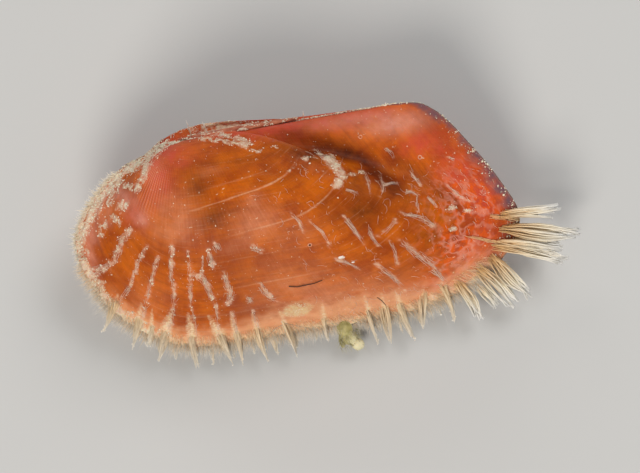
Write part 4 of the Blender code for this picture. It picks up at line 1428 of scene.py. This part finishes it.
class ARKCLAM_OT_streaks(bpy.types.Operator):
    """Make the loose bristle streaks and whiskers on the posterior half and the dorsal edge"""

    bl_idname = "arkclam.streaks"
    bl_label = "Streaks"

    def execute(self, context):
        look = context.scene.arkclam_bristles
        loose = bristle_material("loose_bristles", "#FFDCC0", "#FFEAD8", "#FFF6EC", 0.9)
        for word, side, seed in SIDES:
            draw = np.random.default_rng(seed + 160)
            seen = [bundle(draw, path, width, int(0.5 * count) + 2, (0.25, 0.8))
                    for path, width, count in STREAKS]
            seen = np.concatenate([*seen, whisker_lines(draw, look.whiskers)])
            lines = laid(seen, draw.uniform(0.010, 0.04, len(seen))[:, None])
            if side > 0:
                edge = [np.linspace((*start, 0.03), (*end, 0.06), 4) + draw.normal(0, 0.012, (4, 3))
                        for start, end in EDGE_WHISKERS for _ in range(WISP_HAIRS)]
                lines = np.concatenate([lines, np.array(edge)])
            radii = draw.uniform(0.004, 0.009, len(lines))
            radii[len(seen):] *= 2.0
            piece = hairs(f"{word}_loose_streaks", mirrored(lines, side), radii, draw)
            settle(piece, loose)

        draw = np.random.default_rng(33)
        seen = [bundle(draw, path, width, count, (0.6, 1.4)) for path, width, count in STALKS]
        seen = np.concatenate(seen)
        lines = laid(seen, draw.uniform(0.02, 0.06, len(seen))[:, None])
        piece = hairs("fan_stalks", lines, draw.uniform(0.009, 0.018, len(seen)), draw, tip=0.8)
        settle(piece, bristle_material("ochre_stalks", "#F0B480", "#F6CC98", "#FFE2B4"))
        return {"FINISHED"}


class ARKCLAM_OT_debris(bpy.types.Operator):
    """Lay the lint fibre, thin hair, encrusting patch, rings and white specks on the shell"""

    bl_idname = "arkclam.debris"
    bl_label = "Debris"

    def patch(self, name, centre, radii, height, grain, seed, material):
        """A flat lump wrapped on the wall: its upper half stands up, and its lower half is sunk."""
        start_piece()
        bpy.ops.mesh.primitive_uv_sphere_add(segments=64, ring_count=32, radius=1.0)
        piece = bpy.context.object
        piece.name = piece.data.name = name
        points = get_points(piece.data)
        ragged = 1 + 0.22 * rough(points * np.array((0.5, 0.3, 0.0)), 0.22, seed, 3)
        flat = points[:, :2] * ragged[:, None] * np.array(radii) + np.array(centre)
        lumpy = rough(np.column_stack([flat, points[:, 2] * 0.1]), grain, seed, 4)
        lift = height * points[:, 2] * (1 + 0.6 * lumpy)
        set_points(piece.data, to_world(laid(flat[:, None], lift[:, None])[:, 0]))
        bpy.ops.object.shade_smooth()
        settle(piece, material)

    def execute(self, context):
        lint = plain_material("lint_fibre", "#1E0E04", "#4A2A12", 0.12, 0.6)
        pale_hair = plain_material("thin_hair", "#8C8478", "#B8AC9C", 0.2, 0.4)
        moss = silt_material("encrusting_mat", "#F2DEBC", "#D4AC80")
        lime = plain_material("lime_ring", "#D08058", "#E8A888", 0.1, 0.6)
        white = plain_material("white_lime", "#E0C8B4", "#F8F0E8", 0.1, 0.4)
        dark = plain_material("brown_pit", "#3A1A06", "#6A3210", 0.1, 0.7)
        for name, material, radius, lift, path in (
            ("lint_fibre", lint, 0.022, 0.05,
             ((2.95, -6.63), (3.26, -6.71), (3.58, -6.7), (3.95, -6.69), (4.29, -6.62))),
            ("thin_hair", pale_hair, 0.007, 0.05,
             ((1.77, -8.53), (2.14, -8.26), (2.53, -8.12), (3.1, -8.39), (3.67, -8.62))),
            ("brown_streak", dark, 0.022, 0.0, ((6.33, -7.76), (6.5, -7.94), (6.63, -8.15))),
        ):
            seen = along_path(path, np.linspace(0, 1, FIBRE_STEPS + 1))[None]
            piece = hairs(name, laid(seen, np.array([[lift]])), np.array([radius]), tip=0.7, sides=6)
            settle(piece, material)

        draw = np.random.default_rng(57)
        around = draw.uniform(0, 2 * math.pi, PATCH_GRAINS)
        out = draw.random(PATCH_GRAINS) ** 0.75
        seen = np.stack([np.cos(around), np.sin(around)], -1) * out[:, None] * MAT_RADII
        stage, turn = growth_of(seen + np.array(MAT_CENTRE))
        ups = outward_at(stage, turn)
        centres = wall_at(stage, turn) + ups * 0.018
        sizes = draw.uniform(0.010, 0.034, PATCH_GRAINS) * (1.1 - 0.6 * out)
        settle(grains("encrusting_patch", centres, sizes, ups, draw, flat=0.5), moss)

        self.patch("white_speck", (5.19, -5.86), (0.14, 0.065), 0.04, 0.1, 5, white)
        self.patch("white_speck_2", (5.62, -6.14), (0.07, 0.03), 0.025, 0.1, 6, white)
        self.patch("pit_floor", RINGS[0], (0.05, 0.045), 0.03, 0.1, 7, dark)
        for i, centre in enumerate(RINGS):
            start_piece()
            bpy.ops.mesh.primitive_torus_add(major_segments=40, minor_segments=12, major_radius=RING_RADIUS,
                                             minor_radius=RING_THICKNESS)
            ring = bpy.context.object
            ring.name = ring.data.name = f"grown_ring_{i + 1}"
            points = get_points(ring.data)
            points[:, :2] *= (1 + 0.1 * rough(points, 0.3, i + 1))[:, None]
            stage, turn = growth_of([centre])
            up = outward_at(stage, turn)[0]
            side = unit(np.cross(up, (0.0, 1.0, 0.0)))
            turned = points[:, :1] * side + points[:, 1:2] * np.cross(up, side)
            turned += (points[:, 2:] + 0.008) * up
            set_points(ring.data, to_world(wall_at(stage, turn)[0] + turned))
            bpy.ops.object.shade_smooth()
            settle(ring, lime)
        return {"FINISHED"}


class ARKCLAM_OT_ligament(bpy.types.Operator):
    """Make the horny ligament in the cardinal area"""

    bl_idname = "arkclam.ligament"
    bl_label = "Ligament"

    def execute(self, context):
        start_piece()
        bpy.ops.mesh.primitive_uv_sphere_add(segments=96, ring_count=40, radius=1.0)
        strip = bpy.context.object
        strip.name = strip.data.name = "ligament_strip"
        points = get_points(strip.data)
        wavy = 1 - 0.12 * np.abs(rough(points * LIGAMENT_RADII, 0.2, 5))
        placed = points * LIGAMENT_RADII * wavy[:, None] + np.array(LIGAMENT_CENTRE)
        set_points(strip.data, to_world(placed))
        bpy.ops.object.shade_smooth()
        settle(strip, plain_material("horny_ligament", "#9C3A14", "#D07850", 0.35, 0.6),
               ["ligament"])

        # Grains over the top of the strip, and the last of them in the seam of the valves.
        draw = np.random.default_rng(71)
        count = HINGE_GRAINS
        share = draw.uniform(-0.98, 0.98, count)
        round_angle = draw.uniform(0.05 * math.pi, 0.95 * math.pi, count)
        waist = np.sqrt(1 - share**2)
        ups = np.stack([0 * share, np.sin(round_angle), np.cos(round_angle)], -1)
        round_strip = np.stack([share, ups[:, 1] * waist, ups[:, 2] * waist], -1)
        centres = np.array(LIGAMENT_CENTRE) + round_strip * LIGAMENT_RADII
        thick = smooth(rough(centres, 0.4, 72, 4), 0.0, 0.35) * (0.25 + spot(centres[:, :1], 2.0, 1.1))
        kept = draw.random(count) < thick
        seam = np.arange(count) > SEAM_FROM * count
        centres[seam] = np.stack([draw.uniform(-1.0, 8.4, seam.sum()), draw.uniform(0.0, 0.03, seam.sum()),
                                  draw.normal(0, 0.03, seam.sum())], -1)
        kept |= seam
        sizes = 0.012 + 0.03 * draw.random(kept.sum()) ** 2
        piece = grains("hinge_silt", centres[kept], sizes, ups[kept], draw)
        settle(piece, silt_material("hinge_lime_silt", "#F0E4CA", "#D4A882"))
        return {"FINISHED"}


class ARKCLAM_OT_byssus(bpy.types.Operator):
    """Make the torn stub of matted byssal threads"""

    bl_idname = "arkclam.byssus"
    bl_label = "Byssus"

    def execute(self, context):
        start_piece()
        bodies = []
        for centre, radii in BYSSUS_LUMPS:
            bpy.ops.mesh.primitive_ico_sphere_add(subdivisions=4, radius=1.0)
            body = bpy.context.object
            set_points(body.data, get_points(body.data) * np.array(radii) + np.array(centre))
            bodies.append(body)
        bpy.ops.object.select_all(action="DESELECT")
        for body in bodies:
            body.select_set(True)
        bpy.context.view_layer.objects.active = bodies[0]
        bpy.ops.object.join()
        stub = bpy.context.object
        stub.name = stub.data.name = "byssus_stub"
        remesh = stub.modifiers.new("one_body", "REMESH")
        remesh.mode = "VOXEL"
        remesh.voxel_size = BYSSUS_VOXEL
        blend = stub.modifiers.new("soften", "SMOOTH")
        blend.iterations = 14
        bpy.ops.object.modifier_apply(modifier=remesh.name)
        bpy.ops.object.modifier_apply(modifier=blend.name)
        points = get_points(stub.data)
        away = unit(points - np.array((5.0, -9.2, 0.0)))
        points += away * (0.03 * rough(points * np.array((2.2, 0.8, 2.2)), 0.25, 3, 4))[:, None]
        keep_marks(stub.data, {"pale": smooth(points[:, 0] - 0.8 * points[:, 1], 12.2, 12.75)})
        set_points(stub.data, to_world(points))
        bpy.ops.object.shade_smooth()
        settle(stub, byssus_material("matted_byssus"), ["byssus"])

        draw = np.random.default_rng(91)
        count = BYSSUS_THREADS
        start = np.stack([draw.uniform(4.5, 5.35, count), draw.uniform(-9.6, -8.8, count),
                          draw.uniform(0.08, 0.2, count)], -1)
        way = np.stack([draw.normal(0.12, 0.10, count), draw.uniform(-0.42, -0.12, count),
                        draw.normal(-0.05, 0.05, count)], -1)
        lines = start[:, None] + way[:, None] * np.linspace(0, 1, 4)[None, :, None]
        lines[..., 1] = np.maximum(lines[..., 1], BYSSUS_END)
        piece = hairs("byssus_threads", lines, draw.uniform(0.006, 0.012, count), draw)
        settle(piece, bristle_material("byssal_threads", "#B0A878", "#D8D0A8", "#E8E2CC", 0.8))
        return {"FINISHED"}


# Stage, in metres: floor, and disk lights with place, size, power in watts and colour.
FLOOR_SIZE = 0.6
LIGHTS = (
    ("key", (-0.09, -0.21, 0.21), 0.14, 0.60, "#FFFAF4"),
    ("fill", (0.15, 0.14, 0.24), 0.18, 0.36, "#FFFFFF"),
    ("rim", (-0.08, 0.24, 0.12), 0.12, 0.12, "#FFFFFF"),
)
LIGHT_AIM = (0.0, 0.0, 0.002)
SKY_COLOUR = "#E8ECF0"
SKY_STRENGTH = 0.36
# The view's middle and the camera's sensor, in mm.
VIEW_CENTRE = (4.505, -4.865, 0.0)
SENSOR_WIDTH = 36.0


class ARKCLAM_OT_stage(bpy.types.Operator):
    """Set a pale floor, soft studio light and the camera"""

    bl_idname = "arkclam.stage"
    bl_label = "Stage"

    def execute(self, context):
        look = context.scene.arkclam_stage
        start_piece()
        bpy.ops.mesh.primitive_plane_add(size=FLOOR_SIZE, location=(0, 0, 0))
        floor = bpy.context.object
        floor.name = "floor"
        material, tree, shader = new_material("paper_floor")
        fill(tree, shader, {"Base Color": colour_of(look.floor), "Roughness": 0.9})
        floor.data.materials.append(material)
        for name, place, size, power, colour in LIGHTS:
            bpy.ops.object.light_add(type="AREA", location=place)
            lamp = bpy.context.object
            lamp.name = name
            lamp.data.shape = "DISK"
            lamp.data.size = size
            lamp.data.energy = power
            lamp.data.color = colour_of(colour)[:3]
            lamp.rotation_mode = "QUATERNION"
            lamp.rotation_quaternion = (Vector(LIGHT_AIM) - Vector(place)).to_track_quat("-Z", "Y")
        world = context.scene.world or bpy.data.worlds.new("studio")
        context.scene.world = world
        world.use_nodes = True
        sky = world.node_tree.nodes["Background"]
        fill(world.node_tree, sky, {"Color": colour_of(SKY_COLOUR), "Strength": SKY_STRENGTH})

        centre = STAND + TILT @ (Vector(VIEW_CENTRE) * MM)
        back = Vector((0, -math.cos(look.elevation), math.sin(look.elevation)))
        up = back.cross(Vector((1, 0, 0)))
        right = Vector((1, 0, 0)) * math.cos(look.roll) - up * math.sin(look.roll)
        top = Vector((1, 0, 0)) * math.sin(look.roll) + up * math.cos(look.roll)
        bpy.ops.object.camera_add()
        camera = bpy.context.object
        camera.name = "camera"
        camera.data.lens = look.lens
        camera.data.sensor_width = SENSOR_WIDTH
        distance = look.lens * look.view_width * MM / camera.data.sensor_width
        camera.data.clip_start = 0.01
        camera.data.clip_end = 2.0
        turned = Matrix((right, top, back)).transposed().to_4x4()
        camera.matrix_world = Matrix.Translation(centre + back * distance) @ turned
        context.scene.camera = camera
        context.scene.view_settings.view_transform = "Standard"
        return {"FINISHED"}


class ARKCLAM_PT_panel(bpy.types.Panel):
    """Lists the steps in order"""

    bl_idname = "ARKCLAM_PT_panel"
    bl_label = "Ark clam shell"
    bl_space_type = "VIEW_3D"
    bl_region_type = "UI"
    bl_category = "Ark clam"

    def draw(self, context):
        scene = context.scene
        for group in (scene.arkclam_shell, scene.arkclam_bristles, scene.arkclam_stage):
            for key in group.bl_rna.properties.keys():
                if key not in ("rna_type", "name"):
                    self.layout.prop(group, key)
        for step in STEPS:
            self.layout.operator(step.bl_idname)


STEPS = (
    ARKCLAM_OT_stage, ARKCLAM_OT_valves, ARKCLAM_OT_tufts, ARKCLAM_OT_fringe, ARKCLAM_OT_crust,
    ARKCLAM_OT_streaks, ARKCLAM_OT_debris, ARKCLAM_OT_ligament, ARKCLAM_OT_byssus,
)
CLASSES = (ShellSettings, BristleSettings, StageSettings, *STEPS, ARKCLAM_PT_panel)


def register():
    for cls in CLASSES:
        bpy.utils.register_class(cls)
    bpy.types.Scene.arkclam_shell = bpy.props.PointerProperty(type=ShellSettings)
    bpy.types.Scene.arkclam_bristles = bpy.props.PointerProperty(type=BristleSettings)
    bpy.types.Scene.arkclam_stage = bpy.props.PointerProperty(type=StageSettings)


def unregister():
    del bpy.types.Scene.arkclam_shell
    del bpy.types.Scene.arkclam_bristles
    del bpy.types.Scene.arkclam_stage
    for cls in reversed(CLASSES):
        bpy.utils.unregister_class(cls)


def main():
    register()
    for step in STEPS:
        group, name = step.bl_idname.split(".")
        getattr(getattr(bpy.ops, group), name)()


if __name__ == "__main__":
    main()
